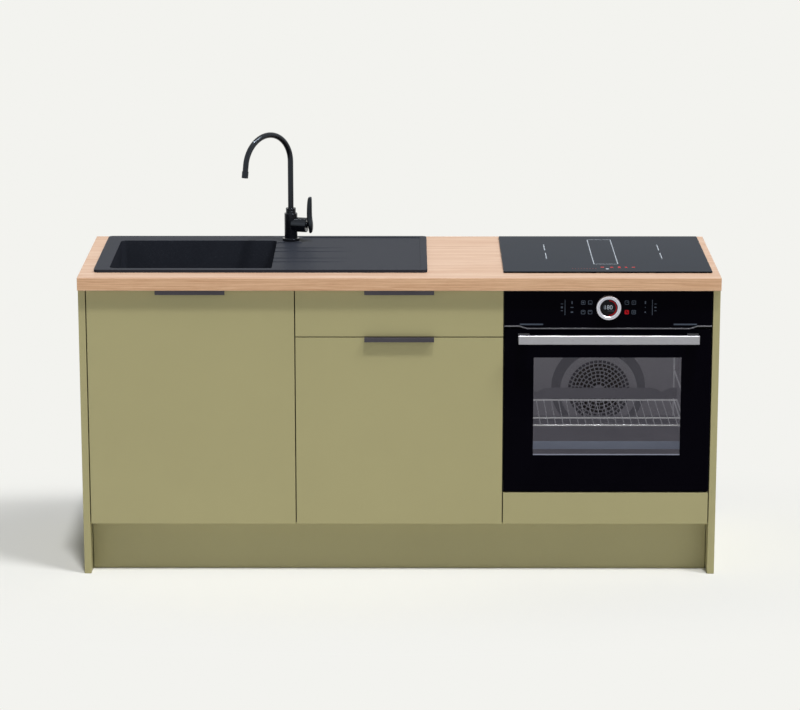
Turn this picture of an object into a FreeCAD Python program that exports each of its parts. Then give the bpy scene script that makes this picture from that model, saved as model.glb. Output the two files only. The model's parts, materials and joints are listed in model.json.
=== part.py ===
import FreeCAD, Part
import Sketcher
import math
import os

# Run of kitchen base units with sink, tap, drawers, built-in oven and hob.
# Frame: X to the right, Y from the front to the wall, Z up, floor at zero, millimetres.

SIZES = [
    # Modules, worktop and fronts
    ("module_width", 600, "one unit of the run"),
    ("end_panel_thick", 20, "panel at each end"),
    ("worktop_depth", 600, "front edge to wall"),
    ("worktop_thick", 38, "laminated board"),
    ("worktop_overhang", 20, "worktop edge in front of the fronts"),
    ("worktop_edge_chamfer", 1.5, "eased front edge"),
    ("unit_height", 700, "unit without feet"),
    ("plinth_height", 150, "floor to unit"),
    ("board_thick", 18, "unit boards"),
    ("unit_wall_gap", 19, "unit's rear edge to the wall"),
    ("front_thick", 19, "door and drawer fronts"),
    ("front_gap", 3, "gap between fronts"),
    ("door_rear_gap", 2, "front to unit edge"),
    ("rail_height", 100, "upright or flat rail"),
    ("back_thick", 8, "back panel"),
    ("back_gap", 2, "back panel in front of the rear rail"),
    ("wall_hole_radius", 3, "wall screw hole in the rear rail"),
    ("wall_hole_inset", 60, "wall screw from the unit's inner side"),
    ("drawer_front_height", 140, "upper drawer's share of the height, with its gap"),
    # Plinth and feet
    ("plinth_setback", 55, "front of plinth behind the fronts"),
    ("plinth_thick", 16, "plinth board"),
    ("plinth_clearance", 2, "plinth to floor, unit and end panels"),
    ("leg_radius", 15, "leg tube"),
    ("leg_foot_radius", 27, "foot plate"),
    ("leg_foot_height", 12, "foot plate"),
    ("leg_flange_height", 10, "top flange under the unit"),
    ("leg_inset", 95, "leg axis from the unit's front and rear edge"),
    ("leg_side_inset", 60, "leg axis from the unit's side"),
    ("clip_height", 22, "plinth clip on a leg"),
    ("clip_level", 80, "plinth clip above the floor"),
    ("clip_wall", 3, "plinth clip"),
    ("slip_fit", 0.3, "clearance of a piece that slips over another"),
    # Sink
    ("sink_left_inset", 21, "sink edge inside the module line"),
    ("sink_over_drawer", 381, "sink's drainer over the drawer unit"),
    ("sink_front_inset", 72, "sink edge behind the worktop edge"),
    ("sink_rear_inset", 35, "sink edge before the wall"),
    ("sink_rim_height", 8.5, "rim above the worktop"),
    ("sink_flange", 10, "rim resting on the worktop"),
    ("sink_plate_thick", 11, "deck and drainer"),
    ("sink_corner_radius", 14, "outer corner"),
    ("bowl_right_inset", 68, "bowl from the drawer unit"),
    ("bowl_rear_inset", 71, "bowl from the sink's rear edge"),
    ("bowl_depth", 200, "inside"),
    ("bowl_wall", 7, "wall and floor"),
    ("bowl_left_inset", 43, "bowl from the sink's left edge"),
    ("bowl_front_inset", 22, "bowl from the sink's front edge"),
    ("bowl_corner_radius", 18, "inside corner"),
    ("groove_length", 240, "drainer groove"),
    ("groove_width", 12, "drainer groove"),
    ("groove_depth", 3.5, "drainer groove at its low end"),
    ("groove_first", 119, "first groove from the sink's front edge"),
    ("groove_last", 173.5, "last groove from the sink's rear edge"),
    ("groove_pair_gap", 53, "between the two grooves of a pair"),
    ("drainer_border", 20, "sunk drainer field inside the rim"),
    ("drainer_recess", 1.6, "sunk drainer field"),
    ("drainer_tap_gap", 7, "sunk drainer field from the tap's flange"),
    ("waste_flange_radius", 57, "strainer seat in the bowl"),
    ("waste_radius", 44, "waste body"),
    ("waste_height", 48, "waste body under the bowl"),
    ("waste_wall", 3, "waste body"),
    ("waste_flange_thick", 2, "strainer seat"),
    ("strainer_height", 30, "basket"),
    ("strainer_wall", 1.5, "basket"),
    ("strainer_gap", 1, "basket inside the waste body"),
    ("strainer_rim", 6, "basket's rim inside the seat's edge"),
    ("strainer_knob", 5, "radius of the knob"),
    ("strainer_hole", 2.5, "radius of the drain holes"),
    ("trap_radius", 34, "bottle of the trap"),
    ("trap_height", 150, "bottle of the trap"),
    ("trap_wall", 3, "trap"),
    ("trap_pipe_radius", 20, "waste pipe"),
    ("trap_inlet_length", 40, "pipe from the waste to the bottle"),
    ("trap_outlet_drop", 28, "outlet axis below the bottle's top"),
    ("pipe_hole_clearance", 30, "hole in the back panel round the waste pipe"),
    ("trap_spigot_length", 30, "end of the waste pipe that goes into the drain"),
    ("trap_spigot_step", 1, "the spigot is thicker than the pipe before it"),
    ("trap_outlet_end", 12, "waste pipe past the unit's back"),
    # Concealed hinge, measured from the end panel's inner face and the door's front face
    ("cup_radius", 17.5, "hinge cup"),
    ("cup_depth", 12, "drilling in the door"),
    ("cup_wall", 0.8, "hinge cup"),
    ("cup_edge", 5, "door edge to the drilling"),
    ("cup_flange_thick", 1, "hinge cup on the door's rear face"),
    ("door_pivot_x", 21, "pivot in the cup"),
    ("door_pivot_y", 17, "pivot in the cup"),
    ("arm_pivot_x", 57.5, "pivot on the arm"),
    ("arm_pivot_y", 43.5, "pivot on the arm"),
    ("link_elbow_x", 35.5, "bend of the link"),
    ("link_elbow_y", 18.5, "bend of the link"),
    ("link_thick", 2.4, "link"),
    ("link_width", 12, "link, up and down"),
    ("pivot_radius", 1.6, "hinge pins"),
    ("pivot_fit", 0.05, "running fit of a pin"),
    ("eye_wall", 1.4, "link round its pins"),
    ("arm_length", 66, "mounting plate"),
    ("arm_plate_height", 30, "mounting plate"),
    ("arm_cheek_length", 20, "arm cheeks"),
    ("arm_margin", 4, "arm cheeks round the pivot"),
    ("arm_wall", 2, "arm cheeks and plate"),
    ("hinge_inset", 125, "hinge from the door's top and bottom edge"),
    # Pulls
    ("pull_length", 200, "edge pull"),
    ("pull_reach", 14, "in front of the front"),
    ("pull_drop", 12.5, "lip with its plate"),
    ("pull_thick", 2, "metal"),
    ("pull_back_drop", 30, "flange behind the front"),
    # Drawers
    ("drawer_side_thick", 15, "box side"),
    ("drawer_bottom_thick", 8, "box bottom"),
    ("drawer_rear_room", 42, "box before the unit's rear edge"),
    ("drawer_box_lift", 25, "box bottom above the front's bottom edge"),
    ("upper_box_height", 85, "box of the upper drawer"),
    ("lower_box_height", 240, "box of the lower drawer"),
    ("drawer_bottom_groove", 10, "bottom panel above the sides' lower edge"),
    ("runner_space", 13, "drawer side to unit side"),
    ("runner_height", 45, "runner"),
    ("runner_gap", 0.6, "between the two members"),
    ("runner_level", 20, "runner above the box's lower edge"),
    ("rail_back_gap", 2, "fixed runner behind the unit's front edge"),
    # Hob
    ("hob_front_inset", 67, "glass behind the worktop edge"),
    ("hob_rear_inset", 20, "glass before the wall"),
    ("hob_glass_thick", 4.5, "glass"),
    ("hob_seal", 0.3, "seal between glass and worktop"),
    ("hob_corner_radius", 5, "glass"),
    ("hob_case_side_inset", 25, "case inside the glass"),
    ("hob_case_inset", 21.5, "case inside the glass, front and rear"),
    ("hob_case_height", 47, "case below the worktop's top"),
    ("hob_case_wall", 1.5, "sheet case, drawn a little thick"),
    ("cutout_clearance", 4, "worktop cut-out round the hob case"),
    # Oven
    ("oven_side_gap", 2.5, "front inside the module line"),
    ("oven_gap", 3, "front to filler panel and to the worktop's underside gap"),
    ("filler_height", 94.5, "panel under the oven"),
    ("oven_panel_height", 98.5, "control panel at its ends"),
    ("oven_front_thick", 17, "door and control panel"),
    ("oven_glass_thick", 4, "outer pane"),
    ("casing_side_gap", 4, "casing to unit side"),
    ("casing_lift", 5, "shelf top above the front's lower edge"),
    ("casing_top_drop", 12, "casing below the front's upper edge"),
    ("casing_rear_room", 25, "casing before the unit's rear edge"),
    ("casing_wall", 2, "sheet casing, drawn a little thick"),
    ("shelf_setback", 30, "shelf behind the unit's front edge"),
    ("flange_thick", 3.5, "casing's front flange"),
    ("flange_bottom_clear", 30, "open strip under the door"),
    ("cavity_side_inset", 57.5, "cavity inside the oven front's sides"),
    ("cavity_floor_rise", 59, "cavity floor above the front's lower edge"),
    ("cavity_roof_drop", 55.5, "cavity roof below the control panel"),
    ("cavity_rear_room", 115, "cavity's rear wall to the casing's"),
    ("cavity_wall", 3, "enamelled sheet"),
    ("window_side_inset", 27, "window inside the cavity's sides"),
    ("window_low_inset", 50, "window above the cavity floor"),
    ("window_high_inset", 40, "window below the cavity roof"),
    ("notch_drop", 7, "middle of the door's top edge below its ends"),
    ("notch_end", 41, "level end of the door's top edge"),
    ("notch_slant", 23, "slant of the door's top edge"),
    ("trim_height", 3, "metal strip on the door"),
    ("door_trim_gap", 1.5, "strip to control panel"),
    ("door_pivot_rise", 12, "door hinge above the door's lower edge"),
    ("door_pivot_set", 8, "door hinge behind the door's front face"),
    ("door_chamfer", 8, "lower rear edge of the door frame"),
    ("door_margin", 2, "door frame inside the glass edge"),
    ("plug_side_gap", 6, "inner door pane to cavity walls"),
    ("inner_glass_thick", 4, "inner pane"),
    ("oven_handle_inset", 39, "bar inside the oven front's sides"),
    ("oven_handle_height", 27, "bar"),
    ("oven_handle_drop", 43, "bar's lower edge below the door's top"),
    ("oven_handle_thick", 12, "bar"),
    ("handle_reach", 47, "front of the bar before the door"),
    ("handle_round", 4, "bar's long edges"),
    ("hinge_inboard", 25, "door hinge inside the cavity's side"),
    ("hinge_arm_thick", 4, "door hinge arm"),
    ("hinge_arm_room", 1.5, "slot round the hinge arm"),
    ("hinge_arm_length", 60, "door hinge arm behind the unit's front edge"),
    ("hinge_eye_radius", 3.6, "door hinge arm"),
    ("hinge_pin_radius", 2, "door hinge pin"),
    ("hinge_pin_length", 24, "sockets of the door hinge pin"),
    ("standoff_width", 32, "handle post"),
    ("standoff_height", 20, "handle post"),
    ("dial_rise", 52.5, "dial axis above the panel's lower edge"),
    ("dial_radius", 35.5, "ring"),
    ("dial_reach", 12, "ring in front of the glass"),
    ("dial_bore", 25, "ring's bore"),
    ("dial_ease", 2, "ring's front edges"),
    ("display_radius", 24.5, "round display"),
    ("display_reach", 9, "display in front of the glass"),
    ("fan_depth", 20, "fan wheel"),
    ("fan_hub_radius", 12, "fan wheel"),
    ("fan_shaft_radius", 4, "motor shaft"),
    ("fan_sheet", 1.5, "fan disc and blades"),
    ("fan_cover_gap", 4, "cover above the cavity floor"),
    ("fan_cover_slant", 26, "width of the cover's slanted rim"),
    ("fan_cover_depth", 30, "cover in front of the rear wall"),
    ("fan_cover_wall", 2, "cover"),
    ("motor_radius", 35, "fan motor"),
    ("motor_length", 50, "fan motor"),
    ("rack_rise", 124, "wire rack above the cavity floor"),
    ("rack_rear_gap", 33, "wire rack before the fan cover"),
    ("rack_cross_inset", 85, "cross wire behind the rack's front wire"),
    ("rack_wire", 2.5, "radius of the frame wire"),
    ("rack_bar", 1.2, "radius of the thin bars"),
    ("rack_bar_pitch", 22, "thin bars"),
    ("side_rack_reach", 14, "wire side racks into the cavity"),
    ("tray_rise", 52, "tray above the cavity floor"),
    ("tray_height", 24, "tray"),
    ("tray_wall", 2, "tray"),
    ("grill_radius", 4, "grill element"),
    ("grill_side_inset", 70, "grill element inside the cavity's sides"),
    ("grill_front_inset", 120, "grill element behind the cavity's mouth"),
    ("grill_drop", 26, "grill element under the roof"),
    ("grill_bend", 60, "grill element's corner"),
    # Tap
    ("tap_side_inset", 26, "tap axis inside the sink unit's right side"),
    ("tap_rear_inset", 102, "tap axis before the wall"),
    ("tap_flange_radius", 25.5, "foot flange"),
    ("tap_flange_height", 8, "foot flange"),
    ("tap_body_radius", 19.5, "body"),
    ("tap_body_height", 83.5, "body above the sink"),
    ("collar_radius", 15, "collar under the spout"),
    ("collar_height", 16, "collar"),
    ("collar_groove", 1.2, "ring groove in the collar"),
    ("spout_radius", 8.4, "pipe"),
    ("spout_bore", 6, "pipe's bore"),
    ("spout_rise", 240, "start of the arch above the sink"),
    ("spout_arch", 90, "arch radius at the pipe's axis"),
    ("spout_arch_turn", 173, "degrees of arch"),
    ("spout_end", 18, "straight end of the spout"),
    ("spout_hold", 14, "pipe inside the collar and body"),
    ("spout_foot_gap", 0.5, "pipe above the bottom of its bore"),
    ("spout_yaw", 225, "degrees, spout's side seen from above"),
    ("aerator_radius", 9.8, "outlet"),
    ("aerator_length", 20, "outlet"),
    ("valve_rise", 49.5, "valve axis above the sink"),
    ("valve_radius", 22, "valve housing"),
    ("valve_reach", 50, "valve housing from the tap axis"),
    ("valve_yaw", -15, "degrees, valve's side seen from above"),
    ("stem_radius", 9, "valve stem"),
    ("valve_start", 6, "valve housing from the tap axis"),
    ("stem_hold", 20, "stem inside the housing"),
    ("stem_length", 3, "stem outside the housing"),
    ("tongue_thick", 5, "stem's tongue in the lever"),
    ("tongue_height", 8, "stem's tongue in the lever"),
    ("tongue_room", 4, "slot above and below the tongue"),
    ("lever_gap", 3, "stem to lever"),
    ("lever_pin_radius", 1.5, "lever pin"),
    ("lever_top_width", 13, "lever at its tip"),
    ("lever_foot_thick", 2.5, "lever at its lower edge"),
    ("lever_width", 17, "lever at its root"),
    ("lever_thick", 9, "lever"),
    ("lever_low", 25, "lever below the valve axis"),
    ("lever_high", 87, "lever above the valve axis"),
    ("shank_radius", 16, "threaded shank under the deck"),
    ("shank_length", 27, "threaded shank"),
    ("tap_nut_radius", 23, "fixing nut"),
    ("tap_nut_height", 8, "fixing nut"),
    ("inlet_radius", 5, "hose inlets in the shank"),
    ("inlet_depth", 14, "hose inlets"),
    ("inlet_pitch", 15, "hose inlets"),
]

doc = FreeCAD.newDocument("KitchenBaseUnits")
sheet = doc.addObject("Spreadsheet::Sheet", "Sizes")


class Size:
    """A length or angle together with the spreadsheet expression that gives it."""

    def __init__(self, value, text):
        self.value = float(value)
        self.text = text

    def __float__(self):
        return self.value

    def __neg__(self):
        return Size(-self.value, f"-({self.text})")

    def __add__(self, other):
        other = sized(other)
        return Size(self.value + other.value, f"({self.text} + {other.text})")

    def __sub__(self, other):
        other = sized(other)
        return Size(self.value - other.value, f"({self.text} - {other.text})")

    def __mul__(self, share):
        share = sized(share)
        return Size(self.value * share.value, f"({self.text} * {share.text})")

    def __truediv__(self, share):
        share = sized(share)
        return Size(self.value / share.value, f"({self.text} / {share.text})")

    def __radd__(self, other):
        return sized(other) + self

    def __rsub__(self, other):
        return sized(other) - self


def sized(value):
    if isinstance(value, Size):
        return value
    return Size(value, f"({float(value)})")


class Sheet:
    """The driving dimensions, one attribute for each cell of the spreadsheet."""

    def __init__(self, table):
        for row, (alias, value, note) in enumerate(table, start=1):
            sheet.set(f"A{row}", alias)
            sheet.set(f"B{row}", str(value))
            sheet.set(f"C{row}", note)
            sheet.setAlias(f"B{row}", alias)
            setattr(self, alias, Size(value, f"Sizes.{alias}"))


size = Sheet(SIZES)
doc.recompute()
NODES = {}
TURN_TO = {
    "X": FreeCAD.Rotation(FreeCAD.Vector(0, 1, 0), 90),
    "Y": FreeCAD.Rotation(FreeCAD.Vector(1, 0, 0), -90),
    "Z": FreeCAD.Rotation(),
}


def bind(target, name, value):
    target.setExpression(name, sized(value).text)


def place(target, x=0, y=0, z=0):
    for axis, value in zip("xyz", (x, y, z)):
        bind(target, f"Placement.Base.{axis}", value)


def block(name, x, y, z):
    """A box between two corners, given as (low, high) for each axis."""
    box = doc.addObject("Part::Box", name)
    for side, (low, high) in zip(("Length", "Width", "Height"), (x, y, z)):
        bind(box, side, sized(high) - low)
    place(box, x[0], y[0], z[0])
    return box


def cylinder(name, radius, length, start, axis="Z"):
    """A cylinder from its start point along an axis."""
    round_bar = doc.addObject("Part::Cylinder", name)
    bind(round_bar, "Radius", radius)
    bind(round_bar, "Height", length)
    round_bar.Placement = FreeCAD.Placement(FreeCAD.Vector(), TURN_TO[axis])
    place(round_bar, *start)
    return round_bar


def fuse(name, *pieces):
    joined = doc.addObject("Part::MultiFuse", name)
    joined.Shapes = list(pieces)
    joined.Refine = True
    return joined


def cut(name, base, *tools):
    result = doc.addObject("Part::Cut", name)
    result.Base = base
    result.Tool = tools[0] if len(tools) == 1 else fuse(f"{name}_tools", *tools)
    result.Refine = True
    return result


def group(name, *pieces):
    """Separate solids that share one node."""
    together = doc.addObject("Part::Compound", name)
    together.Links = list(pieces)
    return together


def feature(name, shape):
    made = doc.addObject("Part::Feature", name)
    made.Shape = shape
    return made


def node(name, piece):
    """Register a finished sub-part under its file name."""
    piece.Label = name
    NODES[name] = piece
    return piece


def rounded(name, base, radius, direction):
    """Fillet the straight edges of a box-like piece that run along one axis."""
    doc.recompute()
    shape = base.Shape
    edges = []
    for number, edge in enumerate(shape.Edges, start=1):
        if isinstance(edge.Curve, Part.Line) and abs(
            edge.tangentAt(edge.FirstParameter).dot(direction)
        ) > 0.999:
            edges.append((number, float(radius), float(radius)))
    fillet = doc.addObject("Part::Fillet", name)
    fillet.Base = base
    fillet.Edges = edges
    return fillet


def origin_plane(body, role):
    return next(item for item in body.Origin.OriginFeatures if item.Role == role)


def sketch_in(body, role, name):
    sketch = body.newObject("Sketcher::SketchObject", name)
    sketch.AttachmentSupport = (origin_plane(body, role), [""])
    sketch.MapMode = "FlatFace"
    return sketch


def fix_point(sketch, line, spot, value, kind):
    """Hold one coordinate of a line's end at a bound distance from the origin."""
    if sized(value).value == 0:
        axis = -2 if kind == "DistanceX" else -1
        sketch.addConstraint(Sketcher.Constraint("PointOnObject", line, spot, axis))
        return
    index = sketch.addConstraint(Sketcher.Constraint(kind, -1, 1, line, spot, sized(value).value))
    sketch.setExpression(f"Constraints[{index}]", sized(value).text)


def draw_outline(sketch, points):
    """A closed outline through corner points given as pairs of sizes."""
    places = [FreeCAD.Vector(sized(x).value, sized(y).value, 0) for x, y in points]
    first = sketch.GeometryCount
    count = len(places)
    for number in range(count):
        sketch.addGeometry(Part.LineSegment(places[number], places[(number + 1) % count]), False)
    for number in range(count):
        after = first + (number + 1) % count
        sketch.addConstraint(Sketcher.Constraint("Coincident", first + number, 2, after, 1))
        fix_point(sketch, first + number, 1, points[number][0], "DistanceX")
        fix_point(sketch, first + number, 1, points[number][1], "DistanceY")


def draw_rectangle(sketch, x, y):
    draw_outline(sketch, [(x[0], y[0]), (x[1], y[0]), (x[1], y[1]), (x[0], y[1])])


def add_pad(body, sketch, name, length):
    pad = body.newObject("PartDesign::Pad", name)
    pad.Profile = sketch
    bind(pad, "Length", length)
    return pad


def add_pocket(body, sketch, name, length, turned=False):
    pocket = body.newObject("PartDesign::Pocket", name)
    pocket.Profile = sketch
    pocket.Reversed = turned
    bind(pocket, "Length", length)
    return pocket


def add_revolution(body, sketch, name):
    """Turn an outline drawn in the XZ plane round the body's Z axis."""
    turned = body.newObject("PartDesign::Revolution", name)
    turned.Profile = sketch
    turned.ReferenceAxis = (sketch, ["V_Axis"])
    turned.Angle = 360
    return turned


def turned_body(name, points):
    """A turned piece: its half section as (radius, height) pairs."""
    body = doc.addObject("PartDesign::Body", name)
    sketch = sketch_in(body, "XZ_Plane", f"{name}_section")
    draw_outline(sketch, points)
    add_revolution(body, sketch, f"{name}_turning")
    return body


def profile_body(name, points, length):
    """A bar of one section along X: its section as (y, z) pairs."""
    body = doc.addObject("PartDesign::Body", name)
    sketch = sketch_in(body, "YZ_Plane", f"{name}_section")
    draw_outline(sketch, points)
    add_pad(body, sketch, f"{name}_bar", length)
    return body


# Levels and planes of the run
half_module = size.module_width / 2
half_run = half_module * 3 + size.end_panel_thick
total_depth = size.handle_reach + size.worktop_depth - size.worktop_overhang
wall_y = total_depth / 2
front_y = size.handle_reach - total_depth / 2
edge_y = front_y - size.worktop_overhang
unit_y = front_y + size.front_thick + size.door_rear_gap
unit_rear_y = wall_y - size.unit_wall_gap
unit_low = size.plinth_height
unit_high = unit_low + size.unit_height
worktop_top = unit_high + size.worktop_thick
front_low = unit_low + size.front_gap / 2
front_high = unit_high - size.front_gap
split_level = unit_high - size.drawer_front_height
UNIT_LEFTS = {"sink": -half_module * 3, "drawer": -half_module, "oven": half_module}
plinth_rear_y = front_y + size.plinth_setback + size.plinth_thick

# Sink, waste and trap
sink_left_x = UNIT_LEFTS["sink"] + size.sink_left_inset
sink_right_x = UNIT_LEFTS["drawer"] + size.sink_over_drawer
sink_front_y = edge_y + size.sink_front_inset
sink_rear_y = wall_y - size.sink_rear_inset
sink_top = worktop_top + size.sink_rim_height
bowl_x = (sink_left_x + size.bowl_left_inset, UNIT_LEFTS["drawer"] - size.bowl_right_inset)
bowl_y = (sink_front_y + size.bowl_front_inset, sink_rear_y - size.bowl_rear_inset)
bowl_floor = sink_top - size.bowl_depth
bowl_middle_x = (bowl_x[0] + bowl_x[1]) / 2
bowl_middle_y = (bowl_y[0] + bowl_y[1]) / 2
waste_low = bowl_floor - size.bowl_wall - size.waste_height
trap_top = waste_low - size.trap_inlet_length
trap_outlet_level = trap_top - size.trap_outlet_drop

# Oven
oven_x = UNIT_LEFTS["oven"] + half_module
half_oven = half_module - size.oven_side_gap
filler_top = front_low + size.filler_height
oven_low = filler_top + size.oven_gap
oven_high = front_high - size.oven_gap
panel_low = oven_high - size.oven_panel_height
door_high = panel_low - size.door_trim_gap - size.trim_height
casing_low = oven_low + size.casing_lift
casing_rear = unit_rear_y - size.casing_rear_room
half_cavity = half_oven - size.cavity_side_inset
cavity_low = oven_low + size.cavity_floor_rise
cavity_high = panel_low - size.cavity_roof_drop
cavity_rear = casing_rear - size.cavity_rear_room
half_window = half_cavity - size.window_side_inset
FAN_LEVEL_SHARE = 0.382
fan_level = cavity_low + (cavity_high - cavity_low) * FAN_LEVEL_SHARE
fan_cover_radius = fan_level - cavity_low - size.fan_cover_gap
oven_door_pivot = (front_y + size.door_pivot_set, oven_low + size.door_pivot_rise)
FAN_BLADES = 8
FAN_WHEEL_SHARE = 0.53
SLOT_COUNTS = (4, 6, 8, 10, 12, 14)
SLOT_RING_SHARES = (0.12, 0.22, 0.32, 0.42, 0.52, 0.62)
SLOT_WIDTH_SHARE = 0.055
SLOT_TURN_SHARE = 0.8
RACK_SUPPORT_SHARES = (0.55, 0.8)
RACK_THIN_SHARE = 0.9

# Tap and hinge places
tap_x = UNIT_LEFTS["drawer"] - size.tap_side_inset
tap_y = wall_y - size.tap_rear_inset
door_left_x = UNIT_LEFTS["sink"] + size.front_gap
cup_x = door_left_x + size.cup_edge + size.cup_radius
cup_floor_y = front_y + size.front_thick - size.cup_depth
hinge_levels = (front_low + size.hinge_inset, front_high - size.hinge_inset)
door_pivot = (UNIT_LEFTS["sink"] + size.door_pivot_x, front_y + size.door_pivot_y)
arm_pivot = (UNIT_LEFTS["sink"] + size.arm_pivot_x, front_y + size.arm_pivot_y)
link_elbow = (UNIT_LEFTS["sink"] + size.link_elbow_x, front_y + size.link_elbow_y)
CUP_FLANGE_SHARE = 1.3
COIL_ROW_SHARES = (0.27, 0.73)
COIL_COLUMN_SHARES = (-0.25, 0.25)
COIL_RADIUS_SHARE = 0.185
STRAINER_RING_SHARES = (0.42, 0.78)
STRAINER_HOLE_COUNTS = (6, 12)
UPWARD = FreeCAD.Vector(0, 0, 1)

# Hob
hob_x = (UNIT_LEFTS["oven"], UNIT_LEFTS["oven"] + size.module_width)
hob_y = (edge_y + size.hob_front_inset, wall_y - size.hob_rear_inset)
hob_case_x = (hob_x[0] + size.hob_case_side_inset, hob_x[1] - size.hob_case_side_inset)
hob_case_y = (hob_y[0] + size.hob_case_inset, hob_y[1] - size.hob_case_inset)


def unit_inside(unit):
    left = UNIT_LEFTS[unit]
    return left + size.board_thick, left + size.module_width - size.board_thick


def make_boards():
    sides = []
    floors = []
    for unit, left in UNIT_LEFTS.items():
        right = left + size.module_width
        depth = (unit_y, unit_rear_y)
        height = (unit_low, unit_high)
        sides.append(block(f"{unit}_side_left", (left, left + size.board_thick), depth, height))
        sides.append(block(f"{unit}_side_right", (right - size.board_thick, right), depth, height))
        floors.append(
            block(f"{unit}_floor", unit_inside(unit), depth, (unit_low, unit_low + size.board_thick))
        )
    shelf_top = casing_low
    shelf_depth = (unit_y + size.shelf_setback, unit_rear_y)
    shelf_height = (shelf_top - size.board_thick, shelf_top)
    floors.append(block("oven_shelf", unit_inside("oven"), shelf_depth, shelf_height))
    node("unit_sides", group("unit_sides", *sides))
    node("unit_floors", group("unit_floors", *floors))


def make_rails():
    rail_low = unit_high - size.rail_height
    upright_front = (unit_y, unit_y + size.board_thick)
    upright_rear = (unit_rear_y - size.board_thick, unit_rear_y)
    flat_height = (unit_high - size.board_thick, unit_high)
    rails = [
        block("sink_front_rail", unit_inside("sink"), upright_front, (rail_low, unit_high)),
        block("drawer_front_rail", unit_inside("drawer"), (unit_y, unit_y + size.rail_height), flat_height),
    ]
    for unit in UNIT_LEFTS:
        rail = block(f"{unit}_rear_rail_board", unit_inside(unit), upright_rear, (rail_low, unit_high))
        holes = []
        for number, x in enumerate(wall_screw_places(unit), start=1):
            start = (x, unit_rear_y - size.board_thick, unit_high - size.rail_height / 2)
            holes.append(
                cylinder(f"{unit}_wall_hole_{number}", size.wall_hole_radius, size.board_thick, start, "Y")
            )
        rails.append(cut(f"{unit}_rear_rail", rail, *holes))
    node("unit_rails", group("unit_rails", *rails))


def wall_screw_places(unit):
    left, right = unit_inside(unit)
    return left + size.wall_hole_inset, right - size.wall_hole_inset


def make_backs():
    rear = unit_rear_y - size.board_thick - size.back_gap
    depth = (rear - size.back_thick, rear)
    height = (unit_low + size.board_thick, unit_high - size.rail_height)
    sink_back = block("sink_back_board", unit_inside("sink"), depth, height)
    start = (bowl_middle_x, depth[0], trap_outlet_level)
    hole = cylinder(
        "waste_pipe_hole", size.trap_pipe_radius + size.pipe_hole_clearance, size.back_thick, start, "Y"
    )
    drawer_back = block("drawer_back_board", unit_inside("drawer"), depth, height)
    node("unit_back_panels", group("unit_back_panels", cut("sink_back", sink_back, hole), drawer_back))


def make_end_panels():
    depth = (front_y, wall_y)
    left = block("end_panel_left", (-half_run, size.end_panel_thick - half_run), depth, (0, unit_high))
    right = block("end_panel_right", (half_run - size.end_panel_thick, half_run), depth, (0, unit_high))
    node("end_panels", group("end_panels", left, right))


def make_worktop():
    edge = size.worktop_edge_chamfer
    deep = size.worktop_depth
    thick = size.worktop_thick
    section = [(0, edge), (0, thick - edge), (edge, thick), (deep, thick), (deep, 0), (edge, 0)]
    body = profile_body("worktop", section, half_run * 2)
    place(body, -half_run, edge_y, unit_high)
    sink_x = (sink_left_x + size.sink_flange + half_run, sink_right_x - size.sink_flange + half_run)
    sink_y = (size.sink_front_inset + size.sink_flange, sink_rear_y - size.sink_flange - edge_y)
    gap = size.cutout_clearance
    case_y = (hob_case_y[0] - gap - edge_y, hob_case_y[1] + gap - edge_y)
    case_x = (hob_case_x[0] - gap + half_run, hob_case_x[1] + gap + half_run)
    for name, x, y in (("sink_cutout", sink_x, sink_y), ("hob_cutout", case_x, case_y)):
        sketch = sketch_in(body, "XY_Plane", f"{name}_outline")
        draw_rectangle(sketch, x, y)
        add_pocket(body, sketch, name, thick, turned=True)
    node("worktop", body)


def make_legs():
    legs = []
    clips = []
    for unit, left in UNIT_LEFTS.items():
        for x_name, x in (("left", left + size.leg_side_inset),
                          ("right", left + size.module_width - size.leg_side_inset)):
            for y_name, y in (("front", unit_y + size.leg_inset), ("rear", unit_rear_y - size.leg_inset)):
                name = f"{unit}_{y_name}_{x_name}"
                foot = cylinder(f"{name}_foot", size.leg_foot_radius, size.leg_foot_height, (x, y, 0))
                tube = cylinder(f"{name}_tube", size.leg_radius, unit_low, (x, y, 0))
                flange_low = unit_low - size.leg_flange_height
                flange = cylinder(
                    f"{name}_flange", size.leg_foot_radius, size.leg_flange_height, (x, y, flange_low)
                )
                legs.append(fuse(f"{name}_leg", foot, tube, flange))
            clips.append(make_clip(f"{unit}_{x_name}", x, unit_y + size.leg_inset))
    node("leveling_legs", group("leveling_legs", *legs))
    node("plinth_clips", group("plinth_clips", *clips))


def make_clip(name, x, y):
    """A plinth clip: a block behind the plinth that snaps round a front leg."""
    reach = size.leg_radius + size.slip_fit + size.clip_wall
    height = (size.clip_level, size.clip_level + size.clip_height)
    holder = block(
        f"{name}_clip_block", (x - reach, x + reach), (plinth_rear_y, y + size.leg_radius / 2), height
    )
    opening = cylinder(
        f"{name}_clip_bore", size.leg_radius + size.slip_fit, size.clip_height, (x, y, size.clip_level)
    )
    return cut(f"{name}_clip", holder, opening)


def make_plinth():
    gap = size.plinth_clearance
    inner = half_module * 3 - gap
    front = front_y + size.plinth_setback
    node("plinth", block("plinth", (-inner, inner), (front, plinth_rear_y), (0, unit_low - gap)))


def make_filler_panel():
    left = half_module + size.front_gap / 2
    right = half_module * 3 - size.front_gap
    height = (front_low, filler_top)
    node("oven_filler_panel", block("oven_filler_panel", (left, right), (front_y, unit_y), height))


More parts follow.
